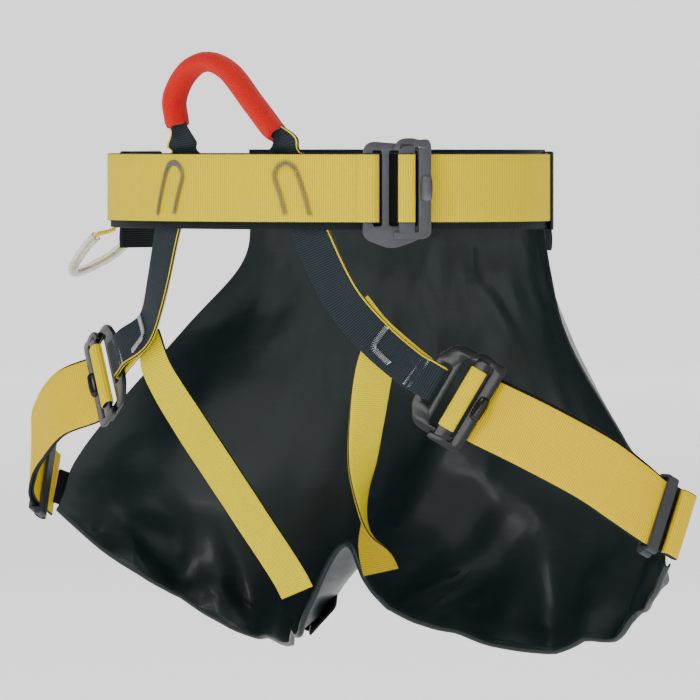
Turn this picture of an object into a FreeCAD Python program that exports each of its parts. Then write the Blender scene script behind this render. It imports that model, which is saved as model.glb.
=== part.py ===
import FreeCAD, Part
import math
import os

# A canyoning-style climbing harness, worn size, in millimetres.
# +X is the wearer's left, -Y the front, +Z up. The origin is the centre of the waist ring.

V = FreeCAD.Vector
os.makedirs("parts", exist_ok=True)

# Waist ring
WAIST_A = 156.0          # half the ring's width
WAIST_B = 120.0          # half the ring's depth
BELT_WIDTH = 45.0
BACKING_WIDTH = 50.0
WEBBING = 2.0            # thickness of all webbing
LAYER_GAP = 0.35         # between two layers of webbing
BELT_TOP = BELT_WIDTH / 2
BACKING_BOTTOM = BELT_TOP - BACKING_WIDTH + 0.5
BUCKLE_ANGLE = 135.6     # round the ring from the middle of the back, towards the wearer's left

# Narrow webbing of the risers, tie-in loop and inner leg straps
NARROW = 25.0
RISER_DEPTH = WEBBING + 2.4      # how far inside the ring's line the risers pass

# Buckles: an anchor frame, an adjuster frame on top of it and a sliding lock bar
FRAME_THICK = 3.0
FRAME_HALF = 31.5        # half the length of the bars
SLOT_HALF = 24.5         # half the length of the slots
LEFT_BAR = (-21.0, -16.0)
MIDDLE_BAR = (-10.0, -5.3)
ANCHOR_END = 15.0
ADJUSTER = (-1.5, 20.5)
ADJUSTER_LIFT = 0.4      # clearance between the two frames
RIGHT_BAR = 13.5
LOCK_X = 6.0             # the lock bar's place along the strap
TURN_HALF = (5.6, 3.6)   # half width and half height of the webbing's turn round the lock bar

# Seat protector
SHEET = 1.6
SIDE_SWAY = 28.0         # how much lower the left lobe's outer corner hangs than its inner one
RIGHT_LIFT = 13.0        # how much higher the wearer's right leg loop is pulled

# Leg keepers and strap tails
KEEPER_LENGTH = 9.0
KEEPER_WALL = 2.0
TAIL_SIZE = (15.0, 8.0)


def unit(v):
    return v * (1.0 / v.Length)


def box(x0, x1, y0, y1, z0, z1):
    return Part.makeBox(x1 - x0, y1 - y0, z1 - z0, V(x0, y0, z0))


def rounded(shape, radius, axis):
    """Round the edges of a plain shape that run along one axis."""
    edges = []
    for edge in shape.Edges:
        if edge.Curve.TypeId == "Part::GeomLine" and abs(unit(edge.tangentAt(0)).dot(axis)) > 0.99:
            edges.append(edge)
    return shape.makeFillet(radius, edges)


def smooth(points, steps=4):
    """Points along a curve that passes through every given point."""
    ends = [points[0] * 2 - points[1]] + points + [points[-1] * 2 - points[-2]]
    curve = []
    for i in range(1, len(points)):
        a, b, c, d = ends[i - 1:i + 3]
        for k in range(steps):
            t = k / steps
            curve.append((b * 2 + (c - a) * t + (a * 2 - b * 5 + c * 4 - d) * t * t
                          + (b * 3 - a - c * 3 + d) * t ** 3) * 0.5)
    return curve + [points[-1]]


def ribbon(stations, width, thick=WEBBING, steps=4, under=0.0, rise=0.0):
    """Flat webbing through stations, each a centre point and the way its face looks.

    A second layer lies under the first by one distance, and is shifted across it by another."""
    centres = smooth([s[0] for s in stations], steps)
    facings = smooth([s[1] for s in stations], steps)
    wires = []
    for i, centre in enumerate(centres):
        run = unit(centres[min(i + 1, len(centres) - 1)] - centres[max(i - 1, 0)])
        across = unit(run.cross(facings[i]))
        face = across.cross(run)
        centre = centre - face * under - across * rise
        w = across * (width / 2)
        n = face * (thick / 2)
        corners = [centre - w - n, centre + w - n, centre + w + n, centre - w + n]
        wires.append(Part.makePolygon(corners + corners[:1]))
    return Part.makeLoft(wires, True, True)


def mirrored(shape):
    return shape.mirror(V(0, 0, 0), V(1, 0, 0))


def ring_point(angle, offset=0.0, z=0.0):
    a = math.radians(angle)
    return V((WAIST_A + offset) * math.sin(a), (WAIST_B + offset) * math.cos(a), z)


def ring_normal(angle):
    a = math.radians(angle)
    return unit(V(math.sin(a) / WAIST_A, math.cos(a) / WAIST_B, 0))


def ring_band(start, end, inner, outer, z0, z1):
    """A stretch of the waist ring between two angles, two offsets and two heights."""
    arcs = []
    for offset in (inner, outer):
        ellipse = Part.Ellipse(V(0, 0, z0), WAIST_A + offset, WAIST_B + offset)
        arcs.append(Part.ArcOfEllipse(ellipse, math.radians(90 - end), math.radians(90 - start)).toShape())
    caps = [Part.makeLine(ring_point(g, inner, z0), ring_point(g, outer, z0)) for g in (start, end)]
    face = Part.Face(Part.Wire(Part.__sortEdges__(arcs + caps)))
    return face.extrude(V(0, 0, z1 - z0))


class Place:
    """A local frame: along the strap, along the bars, and out from the body."""

    def __init__(self, origin, along, bars):
        self.o, self.x, self.y = origin, unit(along), unit(bars)
        self.n = self.x.cross(self.y)
        self.y = self.n.cross(self.x)

    def at(self, x, y, n):
        return self.o + self.x * x + self.y * y + self.n * n

    def put(self, shape):
        m = FreeCAD.Matrix(self.x.x, self.y.x, self.n.x, self.o.x,
                           self.x.y, self.y.y, self.n.y, self.o.y,
                           self.x.z, self.y.z, self.n.z, self.o.z, 0, 0, 0, 1)
        out = shape.copy()
        out.Placement = FreeCAD.Placement(m).multiply(shape.Placement)
        return out


def check(name, shape):
    volume = sum(s.Volume for s in shape.Solids)
    good = shape.isValid() and len(shape.Solids) > 0 and volume > 0
    print("%-28s %3d solids %10.0f mm3 %s" % (name, len(shape.Solids), volume, "" if good else "BAD"))


def save(name, shape):
    check(name, shape)
    shape.exportStep("parts/%s.step" % name)


# The waist belt and its backing

buckle_out = ring_normal(BUCKLE_ANGLE)
waist_place = Place(ring_point(BUCKLE_ANGLE, WEBBING) + buckle_out * 1.2, V(-buckle_out.y, buckle_out.x, 0),
                    V(0, 0, 1))


def belt_webbing():
    """One length from under the adjuster round the body and over the anchor frame's bar."""
    stations = []
    for k in range(23):
        angle = 130.0 - k * 15.0
        stations.append((ring_point(angle, WEBBING / 2), ring_normal(angle)))
    p = waist_place
    bend = WEBBING / 2 + FRAME_THICK / 2 + LAYER_GAP
    turn = LEFT_BAR[1] + 0.5
    stations.append((p.at(-31, 0, -5.2), p.n - p.x * 0.3))
    stations.append((p.at(-24, 0, 1.6), p.n - p.x * 0.5))
    stations.append((p.at(-19, 0, bend), p.n))
    stations.append((p.at(turn, 0, bend), p.n + p.x * 0.2))
    stations.append((p.at(turn + bend, 0, 0), p.x))
    stations.append((p.at(turn, 0, -bend), p.x * 0.2 - p.n))
    stations.append((p.at(-21, 0, -bend), p.n * -1))
    return ribbon(stations, BELT_WIDTH)


save("waist_belt_webbing", belt_webbing())
save("waist_belt_backing",
     ring_band(BUCKLE_ANGLE - 8.5 - 360, BUCKLE_ANGLE - 8.9, -WEBBING - LAYER_GAP, -LAYER_GAP,
               BACKING_BOTTOM, BELT_TOP))


# Hip keepers: sleeves round the belt, each with a sewn flap below

def hip_keeper(start, end):
    outer = ring_band(start, end, -4.4, 4.0, BACKING_BOTTOM - 2.0, BELT_TOP + 2.0)
    hole = ring_band(start - 1, end + 1, -2.6, 2.3, BACKING_BOTTOM - 0.3, BELT_TOP + 0.3)
    flap = ring_band(start + 2, end - 2, -1.2, 1.2, BACKING_BOTTOM - 15.0, BACKING_BOTTOM - 1.5)
    return outer.cut(hole).fuse(flap)


save("hip_keeper_left", hip_keeper(53, 71))
save("hip_keeper_right", hip_keeper(-97, -79))


# Buckles, drawn flat in their own frame: x along the strap, y along the bars, z out from the body

Z = V(0, 0, 1)


def anchor_frame(slot_half, top, bottom):
    """The sewn half: a bar for the webbing, a middle bar, and a window for the lock bar."""
    half = FRAME_THICK / 2
    plate = rounded(box(LEFT_BAR[0], ANCHOR_END, -bottom, top, -half, half), 5.0, Z)
    first = box(LEFT_BAR[1], MIDDLE_BAR[0], -slot_half, slot_half, -half * 2, half * 2)
    second = box(MIDDLE_BAR[1], ANCHOR_END - 1.6, -SLOT_HALF, SLOT_HALF, -half * 2, half * 2)
    return plate.cut(rounded(first, 1.5, Z)).cut(rounded(second, 2.0, Z))


LOCK_N = FRAME_THICK + ADJUSTER_LIFT     # height of the adjuster's middle plane above the anchor's


def adjuster_frame():
    """The tilting half: the bar the strap runs under, with an arm at each end for the lock bar."""
    half = FRAME_THICK / 2
    ring = rounded(box(ADJUSTER[0], ADJUSTER[1], -FRAME_HALF, FRAME_HALF, -half, half), 4.5, Z)
    gap = box(ADJUSTER[0] - 1, RIGHT_BAR, -28.6, 28.6, -half * 2, half * 2)
    frame = ring.cut(gap)
    for side in (-1, 1):
        groove = box(LOCK_X - 4.6, LOCK_X + 4.6, -1.0, 1.0, -0.9, 0.9)
        groove.translate(V(0, side * 29.2, 0))
        frame = frame.cut(groove)
    knob = Part.makeCylinder(3.4, 15.0, V(RIGHT_BAR + 4.6, -7.5, 0.9), V(0, 1, 0))
    knob = knob.makeFillet(1.2, knob.Edges)
    frame = frame.fuse(knob)
    frame.translate(V(0, 0, LOCK_N))
    return frame


def lock_bar():
    """A flat steel bar whose end tongues slide in the adjuster's grooves."""
    bar = rounded(box(-3.8, 3.8, -28.2, 28.2, -1.4, 1.4), 1.2, V(0, 1, 0))
    tongue = box(-2.8, 2.8, -29.9, 29.9, -0.6, 0.6)
    bar = bar.fuse(tongue)
    bar.translate(V(LOCK_X, 0, LOCK_N))
    return bar


def webbing_turn(width):
    """The strap's webbing folded round the lock bar."""
    x, n = TURN_HALF
    outer = rounded(box(-x, x, -width / 2, width / 2, -n, n), n - 0.1, V(0, 1, 0))
    inner = rounded(box(-4.1, 4.1, -width, width, -1.7, 1.7), 1.4, V(0, 1, 0))
    turn = outer.cut(inner)
    turn.translate(V(LOCK_X, 0, LOCK_N))
    return turn


def waist_flange():
    """The plate's lower edge swells downwards to give the thumb a hold."""
    arc = Part.Arc(V(LEFT_BAR[0], -26, 0), V(-3, -38.5, 0), V(ANCHOR_END, -26, 0)).toShape()
    line = Part.makeLine(V(ANCHOR_END, -26, 0), V(LEFT_BAR[0], -26, 0))
    flange = Part.Face(Part.Wire([arc, line])).extrude(V(0, 0, FRAME_THICK))
    flange.translate(V(0, 0, -FRAME_THICK / 2))
    return flange


save("waist_buckle_anchor_frame",
     waist_place.put(anchor_frame(SLOT_HALF, 30.0, 31.0).fuse(waist_flange())))
save("waist_buckle_adjuster_frame", waist_place.put(adjuster_frame()))
save("waist_buckle_lock_bar", waist_place.put(lock_bar()))
save("waist_buckle_webbing_turn", waist_place.put(webbing_turn(BELT_WIDTH)))


# Leg buckles hang at the ends of the risers, bars tilted thirty degrees from upright

leg_place = Place(V(136.9, -59.0, -134.0), V(0.723, 0.469, -0.506), V(0.424, 0.276, 0.862))
BUCKLE_LIFT = RIGHT_LIFT - 3.0
right_lift = V(0, 0, BUCKLE_LIFT)


def both_sides(name, shape, lift=V(0, 0, 0)):
    save(name + "_left", shape)
    other = mirrored(shape)
    other.translate(lift)
    save(name + "_right", other)


both_sides("leg_buckle_anchor_frame", leg_place.put(anchor_frame(14.5, 30.0, 30.0)), right_lift)
both_sides("leg_buckle_adjuster_frame", leg_place.put(adjuster_frame()), right_lift)
both_sides("leg_buckle_lock_bar", leg_place.put(lock_bar()), right_lift)
both_sides("leg_buckle_webbing_turn", leg_place.put(webbing_turn(BELT_WIDTH - 1)), right_lift)


# Risers: down inside the belt, out to the leg buckle, round its bar and sewn back on themselves

JOIN = V(91.0, -82.5, -98.0)              # where the inner leg strap is sewn behind the riser


def riser(lift):
    p = Place(leg_place.o + lift, leg_place.x, leg_place.y)
    bend = WEBBING / 2 + FRAME_THICK / 2 + LAYER_GAP
    turn = LEFT_BAR[1] + 0.5
    out = V(0.54, -0.84, 0)
    back = out * -(WEBBING + LAYER_GAP)
    a, b = WAIST_A - RISER_DEPTH, WAIST_B - RISER_DEPTH
    stations = []
    for x, z in ((40.0, 21.0), (41.5, 13.0), (46.5, -2.0), (55.6, -27.0)):
        y = -b * math.sqrt(1 - (x / a) ** 2)
        stations.append((V(x, y, z), unit(V(x / a ** 2, y / b ** 2, 0))))
    stations.append((V(72.5, -96.5, -70.0) + lift * 0.2, V(0.40, -0.91, 0)))
    stations.append((JOIN + lift * 0.4, out))
    stations.append((p.at(-34, 0, bend * 0.8), out))
    stations.append((p.at(-22, 0, bend), p.n))
    stations.append((p.at(turn, 0, bend), p.n + p.x * 0.2))
    stations.append((p.at(turn + bend, 0, 0), p.x))
    stations.append((p.at(turn, 0, -bend), p.x * 0.2 - p.n))
    stations.append((p.at(-24, 0, -bend * 0.9), p.n * -1))
    stations.append((JOIN + lift * 0.4 + back, out * -1))
    stations.append((V(78.5, -92.0, -79.0) + lift * 0.25 + back, out * -1))
    return ribbon(stations, NARROW)


save("riser_left", riser(V(0, 0, 0)))
save("riser_right", mirrored(riser(right_lift)))


# Tie-in loop: the risers' webbing carried up above the belt, inside a padded red tube

LOOP_LINE = [(-41.0, 28.0), (-42.5, 36.0), (-45.5, 46.0), (-46.5, 60.0), (-36.0, 76.5), (-20.6, 82.7),
             (-3.5, 76.0), (14.0, 57.0), (30.0, 39.0), (36.5, 33.5), (39.5, 28.0)]
LOOP_Y = -112.6


def loop_points():
    return smooth([V(x, LOOP_Y, z) for x, z in LOOP_LINE], 4)


def oval_tube(points, half_flat, half_deep):
    """A tube of oval section whose long side runs front to back."""
    wires = []
    for i, centre in enumerate(points):
        run = unit(points[min(i + 1, len(points) - 1)] - points[max(i - 1, 0)])
        side = run.cross(V(0, 1, 0))
        ring = []
        for k in range(16):
            a = math.radians(22.5 * k)
            ring.append(centre + side * (half_flat * math.cos(a)) + V(0, half_deep * math.sin(a), 0))
        wires.append(Part.makePolygon(ring + ring[:1]))
    return Part.makeLoft(wires, True, True)


def loop_webbing():
    """Flat against the body at its feet, turned and folded narrower inside the tube."""
    points = loop_points()
    wires = []
    last = len(points) - 1
    for i, centre in enumerate(points):
        run = unit(points[min(i + 1, last)] - points[max(i - 1, 0)])
        side = run.cross(V(0, 1, 0))
        turn = min(1.0, min(i, last - i) / 6.0)
        a = math.radians(90) * turn
        across = side * math.cos(a) + V(0, 1, 0) * math.sin(a)
        face = across.cross(run)
        w = across * (NARROW / 2 * (1 - 0.36 * turn))
        n = face * (WEBBING / 2)
        corners = [centre - w - n, centre + w - n, centre + w + n, centre - w + n]
        wires.append(Part.makePolygon(corners + corners[:1]))
    return Part.makeLoft(wires, True, True)


save("tie_in_loop_webbing", loop_webbing())
sheath_line = loop_points()[6:-6]
save("tie_in_loop_sheath", oval_tube(sheath_line, 6.5, 11.0).cut(oval_tube(sheath_line, 4.6, 9.4)))


# Seat protector: one sheet hung from the belt's back, ending in a cup under each thigh.
# Each row runs from the middle of the back to the outer edge, from the belt down to the hem.

SEAT_ROWS = [
    [(0, 123.6, 25), (24, 122.1, 25), (49, 117.5, 25), (77, 108.1, 25), (99, 96.6, 25), (118.5, 82.5, 25)],
    [(0, 125, -20), (24, 123.5, -20), (49, 119, -20), (77, 109.5, -20), (99, 98, -20), (118, 83.5, -20)],
    [(0, 130, -55), (25, 129, -55), (51, 125, -55), (83, 115, -55), (107, 101, -55), (124, 81, -55)],
    [(0, 140, -100), (28, 139.5, -100), (60, 136, -100), (98, 123, -100), (129, 98, -100), (154, 56, -100)],
    [(0, 140, -158), (31, 141, -160), (70, 139, -160), (120, 127, -160), (166, 96, -160), (205, 41, -160)],
    [(0, 112, -208), (34, 122, -214), (76, 130, -220), (136, 128, -222), (198, 98, -210), (231, 35, -196)],
    [(0, 74, -232), (32, 80, -252), (69, 100, -266), (128, 116, -270), (195, 92, -250), (239, 33, -220)],
    [(0, 22, -239), (30, 15, -279), (60, 46, -297), (118, 88, -304), (186, 78, -281), (243, 31, -234)],
]


def sway(side, column, row):
    """The two lobes hang a little unevenly: each tips about its own middle."""
    if column == 0:
        return 0.0
    across = column / 5.0
    return side * (SIDE_SWAY * (0.5 - across) + 2.0) * (row / 7.0) ** 2


def seat_grid():
    grid = []
    for r, row in enumerate(SEAT_ROWS):
        left = [V(x, y, z + sway(1, c, r)) for c, (x, y, z) in enumerate(row)]
        right = [V(-x, y, z + sway(-1, c, r)) for c, (x, y, z) in enumerate(row)]
        grid.append(right[:0:-1] + left)
    return grid


def seat_surface():
    """The sheet's middle surface as a fine net of points, with its outward normals."""
    fine = [smooth(row, 3) for row in seat_grid()]
    columns = [smooth([row[i] for row in fine], 3) for i in range(len(fine[0]))]
    normals = []
    for i, column in enumerate(columns):
        before, after = columns[max(i - 1, 0)], columns[min(i + 1, len(columns) - 1)]
        line = []
        for j in range(len(column)):
            down = column[min(j + 1, len(column) - 1)] - column[max(j - 1, 0)]
            line.append(unit((after[j] - before[j]).cross(down)))
        normals.append(line)
    return columns, normals


SEAT, SEAT_OUT = seat_surface()
COLUMNS, DEPTH = len(SEAT), len(SEAT[0])


def net_face(net):
    surface = Part.BSplineSurface()
    surface.interpolate(net)
    return surface


def sheet(first, last, top, bottom, inner, outer):
    """A closed sheet over part of the net, between two distances from its middle surface."""
    sides = []
    for away in (inner, outer):
        net = [[SEAT[i][j] + SEAT_OUT[i][j] * away for j in range(top, bottom + 1)]
               for i in range(first, last + 1)]
        sides.append(net_face(net))
    faces = [s.toShape() for s in sides]
    u0, u1, v0, v1 = sides[0].bounds()
    for pair in ([s.uIso(u0) for s in sides], [s.uIso(u1) for s in sides],
                 [s.vIso(v0) for s in sides], [s.vIso(v1) for s in sides]):
        faces.append(Part.makeRuledSurface(pair[0].toShape(), pair[1].toShape()))
    shell = Part.makeShell(faces)
    shell.sewShape()
    solid = Part.Solid(Part.Shell(shell.Faces))
    if solid.Volume < 0:
        solid.reverse()
    return solid


save("seat_protector", sheet(0, COLUMNS - 1, 0, DEPTH - 1, -SHEET / 2, SHEET / 2))
save("protector_belt_sleeve",
     ring_band(-45, 45, -WEBBING - LAYER_GAP * 2 - 1.2, -WEBBING - LAYER_GAP * 2, BACKING_BOTTOM + 2,
               BELT_TOP - 1))


# Inner leg straps: from behind the riser down the inside of the thigh to the sheet's inner corner

FORWARD = V(0.545, -0.839, 0)            # the way the front of the left thigh faces


def inner_strap_left():
    """Hangs straight and turns over once on the way down."""
    stations = [(V(93.0, -76.0, -102.0), FORWARD), (V(84.0, -72.5, -118.0), FORWARD),
                (V(72.0, -62.0, -145.0), V(0.70, -0.70, 0.1)), (V(55.0, -42.0, -182.0), V(0.95, -0.25, 0.1)),
                (V(42.0, -20.0, -215.0), V(0.90, -0.30, 0.2)), (V(38.0, -3.0, -240.0), V(0.50, -0.80, 0.2)),
                (V(38.5, 5.0, -256.0), V(0.35, -0.90, 0.1))]
    return ribbon(stations, NARROW)


def inner_strap_right():
    """Crosses flat and tight to the inner corner."""
    facing = V(0.35, -0.93, -0.45)
    stations = [(V(-92.0, -76.0, -98.0), V(-0.4, -0.85, 0)), (V(-84.0, -77.5, -122.0), V(0.0, -0.95, -0.2)),
                (V(-71.0, -57.0, -160.0), facing), (V(-52.0, -25.0, -212.0), facing),
                (V(-36.0, 2.0, -256.0), facing), (V(-30.5, 9.5, -272.0), facing)]
    return ribbon(stations, NARROW)


save("inner_leg_strap_left", inner_strap_left())
save("inner_leg_strap_right", inner_strap_right())


# Outer leg straps: the load strap comes round the thigh from the sheet's outer corner to the lock
# bar, and its free end lies on top of it, back out to the keeper

OUTER_LINE = [((188.1, -44.2, -160.7), (0.56, -0.83, 0)), ((219.9, -24.1, -181.0), (0.70, -0.71, 0)),
              ((236.5, -8.0, -197.0), (0.85, -0.53, 0)), ((245.0, 8.0, -209.0), (0.94, -0.33, 0)),
              ((248.5, 26.0, -217.0), (0.98, -0.18, 0))]
LOAD_DEPTH = WEBBING + LAYER_GAP         # the load strap lies under the free end
LOAD_RISE = 1.8                          # and a little higher, so that its edge shows

KEEPER_RUN = unit(V(3.5, 18.0, -8.0))
KEEPER_OUT = V(0.96, -0.26, 0)
keeper_place = Place(V(246.8, 17.0, -213.0), KEEPER_RUN, KEEPER_OUT.cross(KEEPER_RUN))


def outer_strap(lift, start, end, under, rise):
    near = lift * (BUCKLE_LIFT / RIGHT_LIFT)
    stations = [(leg_place.at(start, 0, -0.3) + near, leg_place.n),
                (leg_place.at(start + 9.0, 0, 0.5) + near, leg_place.n)]
    stations += [(V(*point) + lift, V(*facing)) for point, facing in OUTER_LINE[:-1]]
    stations.append((keeper_place.at(end, 0, 0) + lift, keeper_place.n))
    return ribbon(stations, BELT_WIDTH, under=under, rise=rise)


# Keepers: moulded rectangular rings that hold the two layers together

def keeper():
    high = WEBBING * 2 + LAYER_GAP
    wide = BELT_WIDTH + LOAD_RISE
    hole = box(-20, 20, -wide / 2 - 0.9, wide / 2 + 0.9, -high / 2 - 0.9, high / 2 + 0.9)
    wall = KEEPER_WALL + 0.9
    ring = rounded(box(-KEEPER_LENGTH / 2, KEEPER_LENGTH / 2, -wide / 2 - wall, wide / 2 + wall,
                       -high / 2 - wall, high / 2 + wall), 2.0, V(1, 0, 0)).cut(hole)
    lug = Part.makeCylinder(3.0, KEEPER_LENGTH, V(-KEEPER_LENGTH / 2, -wide / 2 - wall, -2), V(1, 0, 0))
    ring = ring.fuse(lug.cut(hole))
    ring.translate(V(0, LOAD_RISE / 2, -LOAD_DEPTH / 2))
    return ring


# Strap tails: the free end rolled flat and tucked beyond the keeper

TAIL_START = 9.5
FREE_END = 6.0                           # the free end of the strap stops just past the keeper


def strap_tail():
    x, n = TAIL_SIZE[0] / 2, TAIL_SIZE[1] / 2
    half = BELT_WIDTH / 2
    roll = rounded(box(-x, x, -half, half, -n, n), n - 0.2, V(0, 1, 0))
    middle = rounded(box(-x + 2.2, x - 2.2, -half - 1, half + 1, -n + 2.2, n - 2.2), 1.6, V(0, 1, 0))
    roll = roll.cut(middle)
    roll.translate(V(TAIL_START + x, 0, n + WEBBING / 2 - LOAD_DEPTH + 1.2))
    return roll


for side, lift in (("left", V(0, 0, 0)), ("right", V(0, 0, RIGHT_LIFT))):
    pieces = {"free_strap_": outer_strap(lift, ANCHOR_END + 1.5, FREE_END, 0.0, 0.0),
              "load_strap_": outer_strap(lift, ANCHOR_END + 1.5, 20.0, LOAD_DEPTH, LOAD_RISE),
              "leg_keeper_": keeper_place.put(keeper()), "strap_tail_": keeper_place.put(strap_tail())}
    for name, shape in pieces.items():
        if "strap_tail" in name or "keeper" in name:
            shape.translate(lift)
        save(name + side, shape if side == "left" else mirrored(shape))


# Rear leg straps: from the inner corner behind each cup of the sheet to the end of the load strap

MIDDLE = (COLUMNS - 1) // 2


def behind_sheet(column, row, away):
    return SEAT[column][row] + SEAT_OUT[column][row] * away, SEAT_OUT[column][row]


def rear_strap(side, lift):
    stations = [behind_sheet(MIDDLE + side * c, r, away)
                for c, r, away in ((4, 20, 4.2), (5, 19, 4.0), (6, 18, 3.6), (8, 18, 3.6), (10, 18, 3.8),
                                   (12, 17, 4.6), (13, 17, 5.6))]
    end = keeper_place.at(17.0, 0, -LOAD_DEPTH * 2) + lift
    stations.append((V(side * end.x, end.y, end.z), V(side * keeper_place.n.x, keeper_place.n.y, 0)))
    return ribbon(stations, NARROW)


def sheet_patch(side, first, last, top, bottom, inner, outer):
    columns = sorted((MIDDLE + side * first, MIDDLE + side * last))
    return sheet(columns[0], columns[1], top, bottom, inner, outer)


PATCH_IN = (-SHEET / 2 - 1.7, -SHEET / 2 - 0.5)
for side, name in ((1, "left"), (-1, "right")):
    save("rear_leg_strap_" + name, rear_strap(side, V(0, 0, 0 if side > 0 else RIGHT_LIFT)))
    save("strap_tunnel_" + name, sheet_patch(side, 6, 11, 15, 21, 6.8, 8.0))
    save("inner_corner_patch_" + name, sheet_patch(side, 2, 5, 18, DEPTH - 1, *PATCH_IN))
    save("outer_corner_patch_" + name, sheet_patch(side, 13, MIDDLE, 17, DEPTH - 1, *PATCH_IN))
    save("hem_fold_" + name, sheet_patch(side, 6, 12, 20, DEPTH - 1, *PATCH_IN))


# Gear loop on the wearer's right hip: yellow webbing in a clear tube

GEAR_LINE = [(-147.0, -56.5, -31.5), (-158.0, -55.0, -40.0), (-173.0, -47.0, -52.0), (-184.0, -32.0, -58.0),
             (-184.0, -14.0, -55.0), (-174.0, 0.0, -46.0), (-163.5, 5.0, -35.5)]
GEAR_TUBE = (3.4, 2.7)


def round_tube(points, radius):
    wires = []
    for i, centre in enumerate(points):
        run = unit(points[min(i + 1, len(points) - 1)] - points[max(i - 1, 0)])
        side = unit(run.cross(V(0, 0, 1)))
        up = side.cross(run)
        ring = []
        for k in range(12):
            a = math.radians(30 * k)
            ring.append(centre + (side * math.cos(a) + up * math.sin(a)) * radius)
        wires.append(Part.makePolygon(ring + ring[:1]))
    return Part.makeLoft(wires, True, True)


gear_points = smooth([V(*p) for p in GEAR_LINE], 4)
tube_points = gear_points[1:-1]
save("gear_loop_tube", round_tube(tube_points, GEAR_TUBE[0]).cut(round_tube(tube_points, GEAR_TUBE[1])))
save("gear_loop_webbing", ribbon([(p, V(-0.4, -0.5, 0.7)) for p in gear_points], 4.4, 1.4, 1))


# Bar tacks: thick grey zigzag stitching, on the belt and on each riser

TACK = (2.6, 0.7)
BELT_TACK = [(43.0, -17.0), (39.5, -4.5), (35.5, 8.0), (38.5, 14.5), (43.5, 16.5), (48.5, 14.0), (51.5, 8.0),
             (55.5, -4.5), (59.0, -17.5)]


def belt_tack():
    stations = []
    for x, z in BELT_TACK:
        angle = 180 - math.degrees(math.asin(x / WAIST_A))
        stations.append((ring_point(angle, WEBBING + TACK[1] / 2 + 0.1, z), ring_normal(angle)))
    return ribbon(stations, *TACK)


riser_run = leg_place.at(-34, 0, 2.0) - JOIN
riser_flat = Place(JOIN, riser_run, V(0.54, -0.84, 0).cross(riser_run))


def riser_tack():
    """One arm across the webbing and one along it, towards the buckle."""
    height = WEBBING / 2 + TACK[1] / 2 + 0.8
    corners = ((1.0, 10.5), (1.5, 1.0), (3.0, -5.0), (9.0, -6.0), (18.0, -6.5))
    points = [riser_flat.at(x, y, height) for x, y in corners]
    return ribbon([(p, riser_flat.n) for p in points], TACK[0], TACK[1], 3)


both_sides("belt_bar_tack", belt_tack())
both_sides("riser_bar_tack", riser_tack(), V(0, 0, RIGHT_LIFT * 0.4))
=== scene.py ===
import math
import bmesh
import bpy
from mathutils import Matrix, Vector, noise


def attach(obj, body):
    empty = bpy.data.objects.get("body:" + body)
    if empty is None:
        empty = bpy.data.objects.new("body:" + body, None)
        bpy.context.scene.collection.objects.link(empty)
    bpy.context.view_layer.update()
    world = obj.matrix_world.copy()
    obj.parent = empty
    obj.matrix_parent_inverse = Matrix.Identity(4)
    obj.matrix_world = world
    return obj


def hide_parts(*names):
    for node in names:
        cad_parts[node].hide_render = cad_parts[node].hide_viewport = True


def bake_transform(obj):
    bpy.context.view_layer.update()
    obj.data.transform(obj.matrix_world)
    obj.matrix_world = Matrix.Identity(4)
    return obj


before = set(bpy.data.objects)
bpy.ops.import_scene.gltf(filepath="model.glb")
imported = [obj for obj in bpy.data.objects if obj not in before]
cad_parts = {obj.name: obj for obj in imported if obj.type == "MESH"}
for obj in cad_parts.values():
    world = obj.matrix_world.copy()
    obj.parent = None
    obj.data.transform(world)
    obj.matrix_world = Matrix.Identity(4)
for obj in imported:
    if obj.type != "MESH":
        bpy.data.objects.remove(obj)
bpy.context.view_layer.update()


# ---- Camera, floor and light --------------------------------------------------------------------
# The harness hangs in the shape it has on a wearer, seen from the wearer's front left through a
# long lens. A pale floor runs up into a white wall, and three soft lights stand round it.

def mm(x, y, z):
    return Vector((x, y, z)) / 1000


VIEW_AZIMUTH = math.radians(33)
VIEW_HEIGHT = math.radians(1.6)
VIEW_DISTANCE = 5.0
VIEW_WIDTH = 0.467

scene = bpy.context.scene
towards = Vector((math.sin(VIEW_AZIMUTH) * math.cos(VIEW_HEIGHT),
                  -math.cos(VIEW_AZIMUTH) * math.cos(VIEW_HEIGHT), math.sin(VIEW_HEIGHT)))
sideways = Vector((math.cos(VIEW_AZIMUTH), math.sin(VIEW_AZIMUTH), 0))
camera = bpy.data.objects.new("camera", bpy.data.cameras.new("camera"))
camera.data.lens = camera.data.sensor_width * VIEW_DISTANCE / VIEW_WIDTH
camera.location = sideways * 0.0147 + Vector((0, 0, -0.1087)) + towards * VIEW_DISTANCE
camera.rotation_mode = "QUATERNION"
camera.rotation_quaternion = (-towards).to_track_quat("-Z", "Y")
camera.data.clip_end = 50
scene.collection.objects.link(camera)
scene.camera = camera


def mesh_object(name, vertices, faces, smooth_shading=True):
    data = bpy.data.meshes.new(name)
    data.from_pydata([tuple(v) for v in vertices], [], faces)
    data.update()
    piece = bpy.data.objects.new(name, data)
    scene.collection.objects.link(piece)
    if smooth_shading:
        data.polygons.foreach_set("use_smooth", [True] * len(data.polygons))
    return piece


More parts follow.
